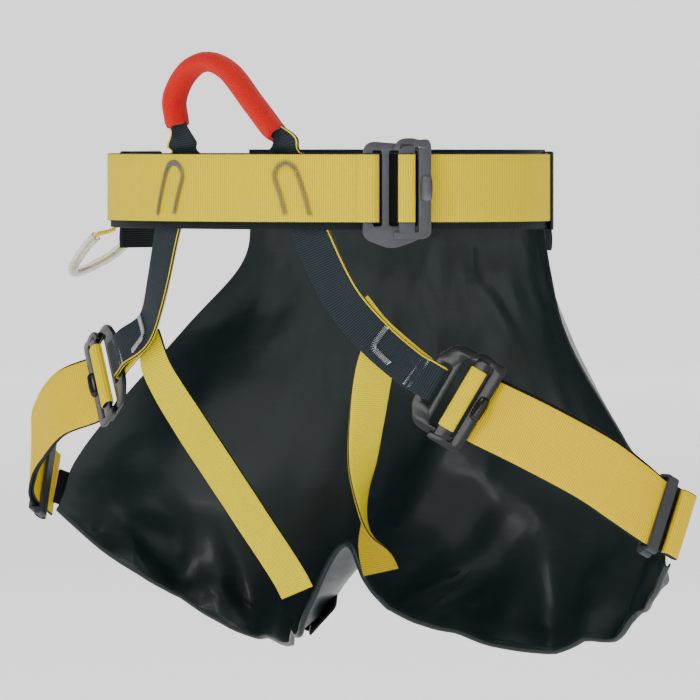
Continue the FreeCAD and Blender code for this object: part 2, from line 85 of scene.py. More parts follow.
def studio_floor():
    """A sweep: flat floor, a quarter round, and a wall well behind, all white."""
    depth, back, radius, wide = 11.0, 9.0, 1.5, 16.0
    line = [(-depth, 0.0), (back, 0.0)]
    for k in range(1, 13):
        a = math.radians(7.5 * k)
        line.append((back + radius * math.sin(a), radius * (1 - math.cos(a))))
    line.append((back + radius, 9.0))
    corners, faces = [], []
    for y, z in line:
        for x in (-wide, wide):
            corners.append(Vector((x, y, z - 0.42)))
    for i in range(len(line) - 1):
        faces.append((2 * i, 2 * i + 1, 2 * i + 3, 2 * i + 2))
    floor = mesh_object("studio_floor", corners, faces)
    floor.rotation_euler = (0, 0, VIEW_AZIMUTH)
    paint = bpy.data.materials.new("studio_white")
    paint.use_nodes = True
    shader = paint.node_tree.nodes["Principled BSDF"]
    shader.inputs["Base Color"].default_value = (0.93, 0.93, 0.93, 1)
    shader.inputs["Roughness"].default_value = 0.9
    shader.inputs["Emission Color"].default_value = (1, 1, 1, 1)
    shader.inputs["Emission Strength"].default_value = 0.9
    floor.data.materials.append(paint)


def soft_light(name, azimuth, elevation, distance, size, power):
    a, e = VIEW_AZIMUTH + math.radians(azimuth), math.radians(elevation)
    away = Vector((math.sin(a) * math.cos(e), -math.cos(a) * math.cos(e), math.sin(e)))
    lamp = bpy.data.objects.new(name, bpy.data.lights.new(name, "AREA"))
    lamp.data.shape = "RECTANGLE"
    lamp.data.size, lamp.data.size_y = size
    lamp.data.energy = power
    lamp.location = away * distance
    lamp.rotation_euler = (-away).to_track_quat("-Z", "Y").to_euler()
    scene.collection.objects.link(lamp)


studio_floor()
soft_light("key_light", -38, 42, 2.2, (0.8, 0.8), 22)
soft_light("fill_light", 48, 12, 2.4, (1.0, 1.0), 7)
soft_light("top_light", 10, 82, 2.0, (1.4, 1.4), 7)
soft_light("low_strip", -12, -4, 2.0, (1.5, 0.22), 7)
soft_light("back_light", 175, 35, 2.4, (1.5, 1.5), 8)
world = bpy.data.worlds.new("studio")
world.use_nodes = True
sky = world.node_tree
height = sky.nodes.new("ShaderNodeSeparateXYZ")
sky.links.new(sky.nodes.new("ShaderNodeTexCoord").outputs["Generated"], height.inputs[0])
fade = sky.nodes.new("ShaderNodeMapRange")
fade.inputs["From Min"].default_value, fade.inputs["From Max"].default_value = 0.02, 0.45
fade.inputs["To Min"].default_value, fade.inputs["To Max"].default_value = 0.70, 0.22
sky.links.new(height.outputs["Z"], fade.inputs["Value"])
sky.nodes["Background"].inputs["Color"].default_value = (1, 1, 1, 1)
sky.links.new(fade.outputs[0], sky.nodes["Background"].inputs["Strength"])
scene.world = world


# ---- Waist belt ---------------------------------------------------------------------------------
# One length of 45 mm two-colour webbing, yellow outside and black inside, woven with fine cross
# ribs. It starts under the adjuster frame, goes round the body, and is sewn over the anchor frame.

WAIST_A, WAIST_B = 0.156, 0.120      # half the waist ring's width and depth
BUCKLE_ANGLE = 135.6                 # round the ring from the middle of the back, to the left
WEBBING = 0.002                      # thickness of all webbing
BELT_WIDTH = 0.045
YELLOW = (0.88, 0.66, 0.0)
BLACK = (0.010, 0.014, 0.017)
RIB_PITCH = 0.0015


class Nodes:
    """A material's node tree, with short ways to add and join its nodes."""

    def __init__(self, name, **finish):
        self.material = bpy.data.materials.new(name)
        self.material.use_nodes = True
        self.tree = self.material.node_tree
        self.shader = self.tree.nodes["Principled BSDF"]
        for socket, value in finish.items():
            self.shader.inputs[socket.replace("_", " ")].default_value = value

    def add(self, kind, **settings):
        node = self.tree.nodes.new(kind)
        for key, value in settings.items():
            setattr(node, key, value)
        return node

    def join(self, start, end):
        self.tree.links.new(start, end)

    def math(self, operation, a, b=0.0, clamp=False):
        """Two numbers or sockets put through one sum."""
        node = self.add("ShaderNodeMath", operation=operation, use_clamp=clamp)
        for i, value in enumerate((a, b)):
            if isinstance(value, (int, float)):
                node.inputs[i].default_value = value
            else:
                self.join(value, node.inputs[i])
        return node.outputs[0]

    def uv(self):
        split = self.add("ShaderNodeSeparateXYZ")
        self.join(self.add("ShaderNodeTexCoord").outputs["UV"], split.inputs[0])
        return split.outputs[0], split.outputs[1]

    def noise(self, scale, detail=3.0, space="Object", stretch=None):
        texture = self.add("ShaderNodeTexNoise")
        texture.inputs["Scale"].default_value = scale
        texture.inputs["Detail"].default_value = detail
        source = self.add("ShaderNodeTexCoord").outputs[space]
        if stretch:
            mapping = self.add("ShaderNodeMapping")
            mapping.inputs["Scale"].default_value = stretch
            self.join(source, mapping.inputs[0])
            source = mapping.outputs[0]
        self.join(source, texture.inputs["Vector"])
        return texture.outputs["Fac"]

    def mix(self, amount, first, second):
        node = self.add("ShaderNodeMix", data_type="RGBA")
        if isinstance(amount, (int, float)):
            node.inputs[0].default_value = amount
        else:
            self.join(amount, node.inputs[0])
        for socket, colour in ((node.inputs[6], first), (node.inputs[7], second)):
            if isinstance(colour, tuple):
                socket.default_value = (*colour, 1)
            else:
                self.join(colour, socket)
        return node.outputs[2]

    def colour(self, source):
        self.join(source, self.shader.inputs["Base Color"])

    def relief(self, height, depth, strength=1.0):
        bump = self.add("ShaderNodeBump")
        bump.inputs["Strength"].default_value = strength
        bump.inputs["Distance"].default_value = depth
        self.join(height, bump.inputs["Height"])
        self.join(bump.outputs[0], self.shader.inputs["Normal"])


def scaled(colour, share):
    return tuple(min(1.0, c * share) for c in colour)


def webbing_material(name, colour, half_width, line_colour=None, lines=(), groove_shade=0.62):
    """Ribbed webbing: cross ribs with painted shade in their grooves, a softer lengthwise grain, and lines of
    another colour along it.
    """
    m = Nodes(name, Roughness=0.66, Specular_IOR_Level=0.12)
    across, along = m.uv()
    rib = m.math("SINE", m.math("MULTIPLY", along, 2 * math.pi / RIB_PITCH))
    rib = m.math("ADD", m.math("MULTIPLY", rib, 0.5), 0.5)
    grain = m.noise(900, 2, "UV", (1.0, 0.12, 1.0))
    patch = m.noise(38, 3, "Object")
    # painted shade: the colour darkens in the grooves between ribs, mixed with the real lengthwise grain
    texture_and_groove_shade = m.math("ADD", m.math("MULTIPLY", grain, 0.35), rib, True)
    base = m.mix(texture_and_groove_shade, scaled(colour, groove_shade), colour)
    worn = m.math("MULTIPLY", m.math("SUBTRACT", patch, 0.4, True), 0.9, True)
    base = m.mix(worn, base, scaled(colour, 0.80))
    for low, high in lines:
        line = m.math("MULTIPLY", m.math("GREATER_THAN", across, half_width * low),
                      m.math("LESS_THAN", across, half_width * high))
        base = m.mix(line, base, line_colour)
    m.colour(base)
    m.relief(m.math("ADD", rib, m.math("MULTIPLY", grain, 0.5)), 0.00022)
    return m.material


def smooth(points, steps):
    """Points along a curve that passes through every given point."""
    ends = [points[0] * 2 - points[1]] + points + [points[-1] * 2 - points[-2]]
    curve = []
    for i in range(1, len(points)):
        a, b, c, d = ends[i - 1:i + 3]
        for k in range(steps):
            t = k / steps
            curve.append((b * 2 + (c - a) * t + (a * 2 - b * 5 + c * 4 - d) * t * t
                          + (b * 3 - a - c * 3 + d) * t ** 3) * 0.5)
    return curve + [points[-1]]


# The outline of webbing cut across: share of the half width, and share of the half thickness
EDGE_OUTLINE = [(-1.0, 0.0), (-0.992, 0.75), (-0.965, 1.0), (-0.7, 0.96), (-0.35, 1.0), (0.0, 0.97),
                (0.35, 1.0), (0.7, 0.96), (0.965, 1.0), (0.992, 0.75), (1.0, 0.0)]


def webbing_mesh(name, rows, width, thick, materials):
    """Webbing through rows of (centre, across, face), front and back in their own materials."""
    front = EDGE_OUTLINE
    back = [(u, -n) for u, n in reversed(EDGE_OUTLINE[1:-1])]
    outline = front + back
    count = len(outline)
    vertices, faces, places, kinds = [], [], [], []
    length = 0.0
    for i, (centre, across, face) in enumerate(rows):
        if i:
            length += (centre - rows[i - 1][0]).length
        for u, n in outline:
            vertices.append(centre + across * (u * width / 2) + face * (n * thick / 2))
            places.append((u * width / 2, length))
    for i in range(len(rows) - 1):
        for k in range(count):
            j = (k + 1) % count
            faces.append((i * count + k, i * count + j, (i + 1) * count + j, (i + 1) * count + k))
            kinds.append(0 if k < len(front) - 1 else 1)
    last = (len(rows) - 1) * count
    faces.append(tuple(reversed(range(count))))
    faces.append(tuple(range(last, last + count)))
    kinds += [1, 1]
    piece = mesh_object(name, vertices, faces)
    for m in materials:
        piece.data.materials.append(m)
    piece.data.polygons.foreach_set("material_index", [min(k, len(materials) - 1) for k in kinds])
    uv = piece.data.uv_layers.new(name="UVMap")
    for polygon in piece.data.polygons:
        for loop, vertex in zip(polygon.loop_indices, polygon.vertices):
            uv.data[loop].uv = places[vertex]
    repair = bmesh.new()
    repair.from_mesh(piece.data)
    bmesh.ops.recalc_face_normals(repair, faces=repair.faces)
    repair.to_mesh(piece.data)
    repair.free()
    return piece


def strap_rows(stations, steps=8, under=0.0, rise=0.0, ripple=0.0, seed=0):
    """Frames along a strap from stations, each a centre and the way the face looks."""
    centres = smooth([s[0] for s in stations], steps)
    facings = smooth([s[1] for s in stations], steps)
    rows = []
    for i, centre in enumerate(centres):
        run = (centres[min(i + 1, len(centres) - 1)] - centres[max(i - 1, 0)]).normalized()
        across = run.cross(facings[i]).normalized()
        face = across.cross(run)
        wave = noise.noise(Vector((i * 0.31, seed * 7.3, 0.5))) * ripple
        rows.append((centre - face * (under - wave) - across * rise, across, face))
    return rows


def strap(name, stations, width, materials, thick=WEBBING, **bends):
    return webbing_mesh(name, strap_rows(stations, **bends), width, thick, materials)


def ring_point(angle, offset=0.0, z=0.0):
    a = math.radians(angle)
    return Vector(((WAIST_A + offset) * math.sin(a), (WAIST_B + offset) * math.cos(a), z))


def ring_normal(angle):
    a = math.radians(angle)
    return Vector((math.sin(a) / WAIST_A, math.cos(a) / WAIST_B, 0)).normalized()


class Place:
    """A buckle's own frame: along the strap, along the bars, and out from the body."""

    def __init__(self, origin, along, bars):
        self.o = origin
        self.x = along.normalized()
        self.n = self.x.cross(bars).normalized()
        self.y = self.n.cross(self.x)

    def at(self, x, y, n):
        return self.o + (self.x * x + self.y * y + self.n * n) / 1000


buckle_out = ring_normal(BUCKLE_ANGLE)
waist_place = Place(ring_point(BUCKLE_ANGLE, WEBBING) + buckle_out * 0.0012,
                    Vector((-buckle_out.y, buckle_out.x, 0)), Vector((0, 0, 1)))
LEFT_BAR_END = -15.5                 # where webbing turns round an anchor frame's bar
BAR_BEND = 2.85                      # radius of that turn, to the webbing's middle


def belt_stations():
    stations = []
    for k in range(23):
        angle = 130.0 - k * 15.0
        stations.append((ring_point(angle, WEBBING / 2), ring_normal(angle)))
    p = waist_place
    stations.append((p.at(-31, 0, -5.2), p.n - p.x * 0.3))
    stations.append((p.at(-24, 0, 1.6), p.n - p.x * 0.5))
    stations.append((p.at(-19, 0, BAR_BEND), p.n))
    stations.append((p.at(LEFT_BAR_END, 0, BAR_BEND), p.n + p.x * 0.2))
    stations.append((p.at(LEFT_BAR_END + BAR_BEND, 0, 0), p.x))
    stations.append((p.at(LEFT_BAR_END, 0, -BAR_BEND), p.x * 0.2 - p.n))
    stations.append((p.at(-21, 0, -BAR_BEND), p.n * -1))
    return stations


EDGE_LINES = ((-1.01, -0.975), (0.975, 1.01))
yellow_wide = webbing_material("yellow_wide_webbing", YELLOW, BELT_WIDTH / 2, BLACK, EDGE_LINES)
black_wide = webbing_material("black_wide_webbing", BLACK, BELT_WIDTH / 2, groove_shade=0.45)
belt = strap("waist_belt", belt_stations(), BELT_WIDTH, [yellow_wide, black_wide], ripple=0.0002, seed=1)
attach(belt, "harness")
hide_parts("waist_belt_webbing")


# ---- Belt backing -------------------------------------------------------------------------------
# A 50 mm black webbing band sewn to the inside of the belt all round. Its lower edge shows below
# the yellow, and its ends meet behind the buckle.

BACKING_WIDTH = 0.0495
backing_rows = []
for step in range(181):
    angle = BUCKLE_ANGLE - 8.9 - step * 359.5 / 180
    middle = ring_point(angle, -WEBBING / 2 - 0.00035, BELT_WIDTH / 2 - BACKING_WIDTH / 2)
    backing_rows.append((middle, Vector((0, 0, -1)), ring_normal(angle)))
black_backing = webbing_material("black_backing_webbing", BLACK, BACKING_WIDTH / 2, groove_shade=0.45)
backing = webbing_mesh("belt_backing", backing_rows, BACKING_WIDTH, WEBBING, [black_backing])
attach(backing, "harness")
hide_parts("waist_belt_backing")


# ---- Hip keepers --------------------------------------------------------------------------------
# Two black elasticated sleeves that hold the belt's layers together on the hips. Each is a band
# of stretch webbing sewn round the belt, with a short flap left hanging below it.

KEEPER_RANGES = {"left": (53.0, 71.0), "right": (-97.0, -79.0)}


def closed_strip(name, rings, materials, closed_ends=True):
    """A skin over rings of points, each ring a closed outline, with lengthwise UVs in metres."""
    count = len(rings[0])
    vertices = [p for ring in rings for p in ring]
    faces, places = [], []
    lengths = [0.0]
    for before, after in zip(rings, rings[1:]):
        lengths.append(lengths[-1] + sum((b - a).length for a, b in zip(before, after)) / count)
    girths = [0.0]
    for k in range(count):
        girths.append(girths[-1] + (rings[0][(k + 1) % count] - rings[0][k]).length)
    for i in range(len(rings) - 1):
        for k in range(count):
            j = (k + 1) % count
            faces.append((i * count + k, i * count + j, (i + 1) * count + j, (i + 1) * count + k))
            places.append([(girths[k], lengths[i]), (girths[k + 1], lengths[i]),
                           (girths[k + 1], lengths[i + 1]), (girths[k], lengths[i + 1])])
    if closed_ends:
        last = (len(rings) - 1) * count
        faces.append(tuple(reversed(range(count))))
        faces.append(tuple(range(last, last + count)))
        places += [[(0.0, 0.0)] * count] * 2
    piece = mesh_object(name, vertices, faces)
    uv = piece.data.uv_layers.new(name="UVMap")
    for polygon, corners in zip(piece.data.polygons, places):
        for loop, corner in zip(polygon.loop_indices, corners):
            uv.data[loop].uv = corner
    for m in materials:
        piece.data.materials.append(m)
    repair = bmesh.new()
    repair.from_mesh(piece.data)
    bmesh.ops.recalc_face_normals(repair, faces=repair.faces)
    repair.to_mesh(piece.data)
    repair.free()
    return piece


stretch_webbing = webbing_material("stretch_webbing", (0.022, 0.026, 0.030), 0.03, groove_shade=0.35)
for side, (start, end) in KEEPER_RANGES.items():
    rings = []
    for step in range(25):
        angle = start + (end - start) * step / 24
        outline = []
        for offset, z in ((3.4, 23.2), (3.4, -27.7), (2.2, -28.4), (-2.6, -28.4), (-3.8, -27.7),
                          (-3.8, 23.2), (-2.6, 23.9), (2.2, 23.9)):
            outline.append(ring_point(angle, offset / 1000, z / 1000))
        rings.append(outline)
    sleeve = closed_strip("hip_keeper_" + side, rings, [stretch_webbing], False)
    wall = sleeve.modifiers.new("wall", "SOLIDIFY")
    wall.thickness, wall.offset = 0.0013, -1
    flap_rows = []
    for step in range(13):
        down = -0.0278 - 0.0138 * step / 12
        middle = (start + end) / 2
        bow = 0.0006 * math.sin(step / 12 * math.pi)
        flap_rows.append((ring_point(middle, bow, down),
                          Vector((-ring_normal(middle).y, ring_normal(middle).x, 0)), ring_normal(middle)))
    flap = webbing_mesh("hip_flap_" + side, flap_rows, 0.041, 0.0023, [stretch_webbing])
    for piece in (sleeve, flap):
        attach(piece, "harness")
    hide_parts("hip_keeper_" + side)
    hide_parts("hip_keeper_" + side)


# ---- Waist buckle -------------------------------------------------------------------------------
# A two-plate quick-adjust buckle of forged grey alloy. The anchor plate is sewn into the belt, and
# the C-shaped adjuster tilts on it. The belt's free end turns round a lock bar in the adjuster.

PLATE_HALF = 1.5                     # half the plates' thickness, in the buckle's own millimetres
EDGE_ROUND = 0.7
LIFT = 3.4                           # the adjuster's middle plane above the anchor plate's
LOCK_X = 6.0                         # where the lock bar lies


def rounded_outline(corners):
    """A closed outline from (x, y, corner radius)."""
    outline = []
    for i, (x, y, radius) in enumerate(corners):
        here = Vector((x, y, 0))
        before = Vector((*corners[i - 1][:2], 0)) - here
        after = Vector((*corners[(i + 1) % len(corners)][:2], 0)) - here
        a = here + before.normalized() * min(radius, before.length * 0.48)
        b = here + after.normalized() * min(radius, after.length * 0.48)
        for k in range(7):
            t = k / 6
            outline.append(a * (1 - t) ** 2 + here * (2 * t * (1 - t)) + b * t * t)
    return outline


def rectangle(x0, x1, y0, y1, radius):
    return [(x0, y0, radius), (x1, y0, radius), (x1, y1, radius), (x0, y1, radius)]


def grown(corners, by):
    """The outline moved outwards by a little, so that a rounded edge ends up in the right place."""
    cx = sum(c[0] for c in corners) / len(corners)
    cy = sum(c[1] for c in corners) / len(corners)
    return [(x + math.copysign(by, x - cx), y + math.copysign(by, y - cy), r) for x, y, r in corners]


def metal_plate(name, place, outer, holes, height, material):
    """A flat plate with rounded edges, cut from an outline with holes, in a buckle's frame."""
    line = bpy.data.curves.new(name, "CURVE")
    line.dimensions = "2D"
    line.fill_mode = "BOTH"
    line.extrude = PLATE_HALF - EDGE_ROUND
    line.bevel_depth = EDGE_ROUND
    line.bevel_resolution = 3
    for corners in [grown(outer, -EDGE_ROUND)] + [grown(hole, EDGE_ROUND) for hole in holes]:
        points = rounded_outline(corners)
        spline = line.splines.new("POLY")
        spline.points.add(len(points) - 1)
        spline.use_cyclic_u = True
        for point, target in zip(points, spline.points):
            target.co = (point.x, point.y, 0, 1)
    drawing = bpy.data.objects.new(name, line)
    scene.collection.objects.link(drawing)
    data = bpy.data.meshes.new_from_object(drawing)
    bpy.data.objects.remove(drawing)
    for vertex in data.vertices:
        vertex.co = place.at(vertex.co.x, vertex.co.y, vertex.co.z + height)
    piece = bpy.data.objects.new(name, data)
    scene.collection.objects.link(piece)
    weld = bmesh.new()
    weld.from_mesh(data)
    bmesh.ops.remove_doubles(weld, verts=weld.verts, dist=0.00002)
    bmesh.ops.recalc_face_normals(weld, faces=weld.faces)
    weld.to_mesh(data)
    weld.free()
    data.polygons.foreach_set("use_smooth", [True] * len(data.polygons))
    data.set_sharp_from_angle(angle=math.radians(32))
    data.materials.clear()
    data.materials.append(material)
    return piece


def turned(name, place, profile, centre, material, sides, knurl):
    """A turned part along the buckle's bars, from (distance, radius) pairs."""
    axis, u, v = place.y, place.x, place.n
    rings = []
    for i, (distance, radius) in enumerate(profile):
        ring = []
        for k in range(sides):
            a = 2 * math.pi * k / sides
            ridge = knurl * (1 if (k + i) % 2 else -1) if 0 < i < len(profile) - 1 else 0
            ring.append(centre + (axis * distance + (u * math.cos(a) + v * math.sin(a)) * (radius + ridge))
                        / 1000)
        rings.append(ring)
    return closed_strip(name, rings, [material])


def metal(name, colour, roughness, metallic, coat=0.0, edge=(0.5, 0.52, 0.55), wear=0.35,
          grain=0.6, shine=0.5):
    """Coated metal: fine grain, cloudy wear, and edges rubbed brighter."""
    m = Nodes(name, Metallic=metallic, Specular_IOR_Level=shine, Coat_Weight=coat, Coat_Roughness=0.10)
    edges = m.add("ShaderNodeNewGeometry").outputs["Pointiness"]
    edges = m.math("MULTIPLY", m.math("SUBTRACT", edges, 0.52, True), 9.0, True)
    clouds = m.noise(140, 4)
    rubbed = m.math("MULTIPLY", m.math("MULTIPLY", edges, clouds), wear * 2.0, True)
    m.colour(m.mix(rubbed, m.mix(clouds, scaled(colour, 0.75), scaled(colour, 1.25)), edge))
    rough = m.math("ADD", m.math("MULTIPLY", m.noise(420, 3), 0.16), roughness - 0.08)
    m.join(rough, m.shader.inputs["Roughness"])
    m.relief(m.noise(2600, 2), 0.00002, grain)
    return m.material


grey_alloy = metal("grey_alloy", (0.052, 0.055, 0.064), 0.42, 0.30)
ADJUSTER_OUTLINE = [(20.5, 31.0, 6), (13.0, 30.0, 2.5), (9.0, 31.4, 4), (2.0, 31.0, 4), (-2.0, 24.6, 2.0),
                    (2.0, 24.4, 1.0), (5.0, 26.6, 2), (13.5, 26.6, 1.5),
                    (13.5, -28.2, 1.5), (-1.0, -28.2, 0.6), (-1.0, -31.5, 1.5), (20.5, -31.5, 6)]


KNOB_SIDES, KNURL_DEPTH = 26, 0.26


def knob_profile():
    """A barrel with rounded ends."""
    body = [(-6.9 + k * 1.15, 3.9 - 0.010 * (k * 1.15 - 6.9) ** 2) for k in range(13)]
    return [(-8.6, 0.6), (-8.4, 1.9), (-7.7, 2.9)] + body + [(7.7, 2.9), (8.4, 1.9), (8.6, 0.6)]


def buckle(prefix, side, place, anchor_outline, slot_half, finish, bodies):
    """Anchor plate, adjuster, knob and lock bar of one buckle."""
    anchor = metal_plate(prefix + "_anchor" + side, place, anchor_outline,
                         [rectangle(-16, -10, -slot_half, slot_half, 2),
                          rectangle(-5.3, 13.2, -24.5, 24.5, 3)],
                         0.0, finish)
    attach(anchor, "harness")
    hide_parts(prefix + "_anchor_frame" + side)
    adjuster = metal_plate(prefix + "_adjuster" + side, place, ADJUSTER_OUTLINE, [], LIFT, finish)
    knob = turned(prefix + "_knob" + side, place, knob_profile(), place.at(18.6, 0, LIFT + 0.6), finish,
                  KNOB_SIDES, KNURL_DEPTH)
    bar_outline = rectangle(LOCK_X - 3.8, LOCK_X + 3.8, -28.2, 28.2, 1.5)
    bar = metal_plate(prefix + "_lock_bar" + side, place, bar_outline, [], LIFT, finish)
    for piece in (adjuster, knob):
        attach(piece, bodies[0])
        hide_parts(prefix + "_adjuster_frame" + side)
    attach(bar, bodies[1])
    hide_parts(prefix + "_lock_bar" + side)
    return [anchor, adjuster, knob, bar]


WAIST_ANCHOR = [(-21, 29.5, 8), (-3, 28.0, 4), (15, 27.0, 3), (15, -31.0, 4), (7, -34.5, 8), (-3, -38.2, 9),
                (-12, -35.0, 8), (-21, -31.5, 5)]
for piece in buckle("waist_buckle", "", waist_place, WAIST_ANCHOR, 24.5, grey_alloy,
                    ("waist_adjuster", "waist_lock_bar")):
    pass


def webbing_round_bar(name, place, width, materials):
    """The strap's fold over the lock bar, closed behind it."""
    rows = []
    for k in range(37):
        a = 2 * math.pi * k / 36
        x = math.copysign(abs(math.cos(a)) ** 0.7, math.cos(a)) * 4.75
        n = math.copysign(abs(math.sin(a)) ** 0.7, math.sin(a)) * 2.65
        face = (place.x * (math.cos(a) / 4.75) + place.n * (math.sin(a) / 2.65)).normalized()
        rows.append((place.at(LOCK_X + x, 0, LIFT + n), place.y, face))
    return webbing_mesh(name, rows, width, 0.0019, materials)


waist_turn = webbing_round_bar("waist_belt_turn", waist_place, BELT_WIDTH, [yellow_wide, black_wide])
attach(waist_turn, "waist_lock_bar")
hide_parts("waist_buckle_webbing_turn")


# ---- Seat protector -----------------------------------------------------------------------------
# One sheet of dark slate coated fabric, hung from the back of the belt and shaped into a cup under
# each thigh. It is tugged together where the straps are sewn to its lower corners, so it folds.

# Each row runs from the middle of the back to the outer edge, from the belt down to the hem
SEAT_ROWS = [
    [(0, 123.6, 25), (24, 122.1, 25), (49, 117.5, 25), (77, 108.1, 25), (99, 96.6, 25), (118.5, 82.5, 25)],
    [(0, 125, -20), (24, 123.5, -20), (49, 119, -20), (77, 109.5, -20), (99, 98, -20), (118, 83.5, -20)],
    [(0, 130, -55), (25, 129, -55), (51, 125, -55), (83, 115, -55), (107, 101, -55), (124, 81, -55)],
    [(0, 140, -100), (28, 139.5, -100), (60, 136, -100), (98, 123, -100), (129, 98, -100), (154, 56, -100)],
    [(0, 140, -158), (31, 141, -160), (70, 139, -160), (120, 127, -160), (166, 96, -160), (205, 41, -160)],
    [(0, 112, -208), (34, 122, -214), (76, 130, -220), (136, 128, -222), (198, 98, -210), (231, 35, -196)],
    [(0, 74, -232), (32, 80, -252), (69, 100, -266), (128, 116, -270), (195, 92, -250), (239, 33, -220)],
    [(0, 22, -239), (30, 15, -279), (60, 46, -297), (118, 88, -304), (186, 78, -281), (243, 31, -234)],
]
SIDE_SWAY = 28.0                     # the two lobes hang a little unevenly
SHEET_THICK = 0.0012
# Folds: side, columns out from the middle, lean per row, height in mm, width, spread per row, reach in rows
FOLDS = [
    (1, 1.25, 0.30, 5.0, 0.16, 0.16, 2.6), (1, 1.80, 0.10, -4.0, 0.18, 0.18, 2.2),
    (1, 2.45, -0.20, 4.5, 0.16, 0.18, 2.2), (1, 3.05, -0.46, 6.5, 0.13, 0.14, 3.2),
    (1, 3.42, -0.20, -5.5, 0.11, 0.13, 2.8), (1, 3.74, 0.02, 6.5, 0.11, 0.12, 3.0),
    (1, 4.05, 0.12, -4.5, 0.10, 0.10, 2.4), (1, 4.36, 0.20, 5.5, 0.10, 0.10, 2.4),
    (1, 4.70, -0.34, 5.0, 0.11, 0.12, 2.6),
    (-1, 1.20, 0.34, 5.5, 0.14, 0.15, 2.6), (-1, 1.70, -0.14, -4.5, 0.14, 0.15, 2.2),
    (-1, 2.15, 0.16, 6.5, 0.13, 0.14, 2.9), (-1, 2.60, -0.10, -5.0, 0.13, 0.14, 2.4),
    (-1, 3.02, 0.24, 7.0, 0.12, 0.13, 3.3), (-1, 3.45, 0.04, -5.5, 0.12, 0.12, 2.6),
    (-1, 3.88, -0.12, 6.5, 0.11, 0.12, 2.8), (-1, 4.28, 0.16, -4.5, 0.11, 0.10, 2.2),
    (-1, 4.62, -0.08, 5.0, 0.10, 0.10, 2.4),
]
# Where the hem is drawn up between its scallops, in columns out from the middle
CUSPS = {1: (0.85, 2.20, 3.45, 4.22, 5.0), -1: (0.85, 1.75, 2.85, 3.85, 5.0)}
SCALLOP_DEPTH = 0.0045


def sway(side, column, row):
    """Each lobe tips about its own middle."""
    if column == 0:
        return 0.0
    return side * (SIDE_SWAY * (0.5 - column / 5) + 2.0) * (row / 7) ** 2


def curve_at(points, place):
    """A point on the curve that passes through the given points, with place counted in points."""
    i = min(int(place), len(points) - 2)
    t = place - i
    b, c = points[i], points[i + 1]
    a = points[i - 1] if i else b * 2 - c
    d = points[i + 2] if i + 2 < len(points) else c * 2 - b
    return (b * 2 + (c - a) * t + (a * 2 - b * 5 + c * 4 - d) * t * t
            + (b * 3 - a - c * 3 + d) * t ** 3) * 0.5


seat_net = []
for row_number, seat_row in enumerate(SEAT_ROWS):
    left_half = [mm(x, y, z + sway(1, c, row_number)) for c, (x, y, z) in enumerate(seat_row)]
    right_half = [mm(-x, y, z + sway(-1, c, row_number)) for c, (x, y, z) in enumerate(seat_row)]
    seat_net.append(right_half[:0:-1] + left_half)


def seat_base(column, row):
    """Middle of the smooth sheet; column runs from -5, right, to 5, left, and row from 0 to 7."""
    return curve_at([curve_at(line, column + 5) for line in seat_net], row)


def seat_folds(column, row):
    """How far the folded sheet stands out from the smooth one, in metres."""
    up = 7.0 - row
    total = 0.0
    for side, start, lean, height, width, spread, reach in FOLDS:
        if up < reach and column * side > 0:
            off = (abs(column) - start - lean * up) / (width + spread * up)
            share = 1 - up / reach
            at_hem = 0.30 + 0.70 * min(1.0, up / 0.5)
            total += 1.3 * height * math.exp(-abs(off) ** 1.45) * share * share * (3 - 2 * share) * at_hem
    slack = noise.noise(Vector((column * 0.75, row * 0.6, 4.2))) * 5.0
    slack += noise.noise(Vector((column * 2.1, row * 1.5, 9.1))) * 1.6
    hung = min(1.0, row / 2.5) ** 2
    edge = min(1.0, (5.0 - abs(column)) * 1.6 + 0.15)
    return (total * edge + slack * hung * edge) / 1000


def scallop(column, row):
    """How far the hem hangs down between two places where it is drawn up."""
    cusps = CUSPS[1 if column > 0 else -1]
    for start, end in zip(cusps, cusps[1:]):
        if start <= abs(column) <= end:
            return SCALLOP_DEPTH * math.sin(math.pi * (abs(column) - start) / (end - start)) * (row / 7) ** 9
    return 0.0


def seat_at(column, row, away=0.0):
    """A point on the folded sheet, moved outwards, and the smooth sheet's outward direction."""
    step = 0.06
    c0, c1 = max(-5.0, column - step), min(5.0, column + step)
    r0, r1 = max(0.0, row - step), min(7.0, row + step)
    out = (seat_base(c1, row) - seat_base(c0, row)).cross(seat_base(column, r1) - seat_base(column, r0))
    out.normalize()
    drop = Vector((0, 0, -scallop(column, row)))
    return seat_base(column, row) + drop + out * (seat_folds(column, row) + away), out


def settle(piece):
    """Keeps the mesh that the piece's modifiers make, and takes the modifiers off."""
    shaped = bpy.data.meshes.new_from_object(piece.evaluated_get(bpy.context.evaluated_depsgraph_get()))
    piece.modifiers.clear()
    piece.data = shaped


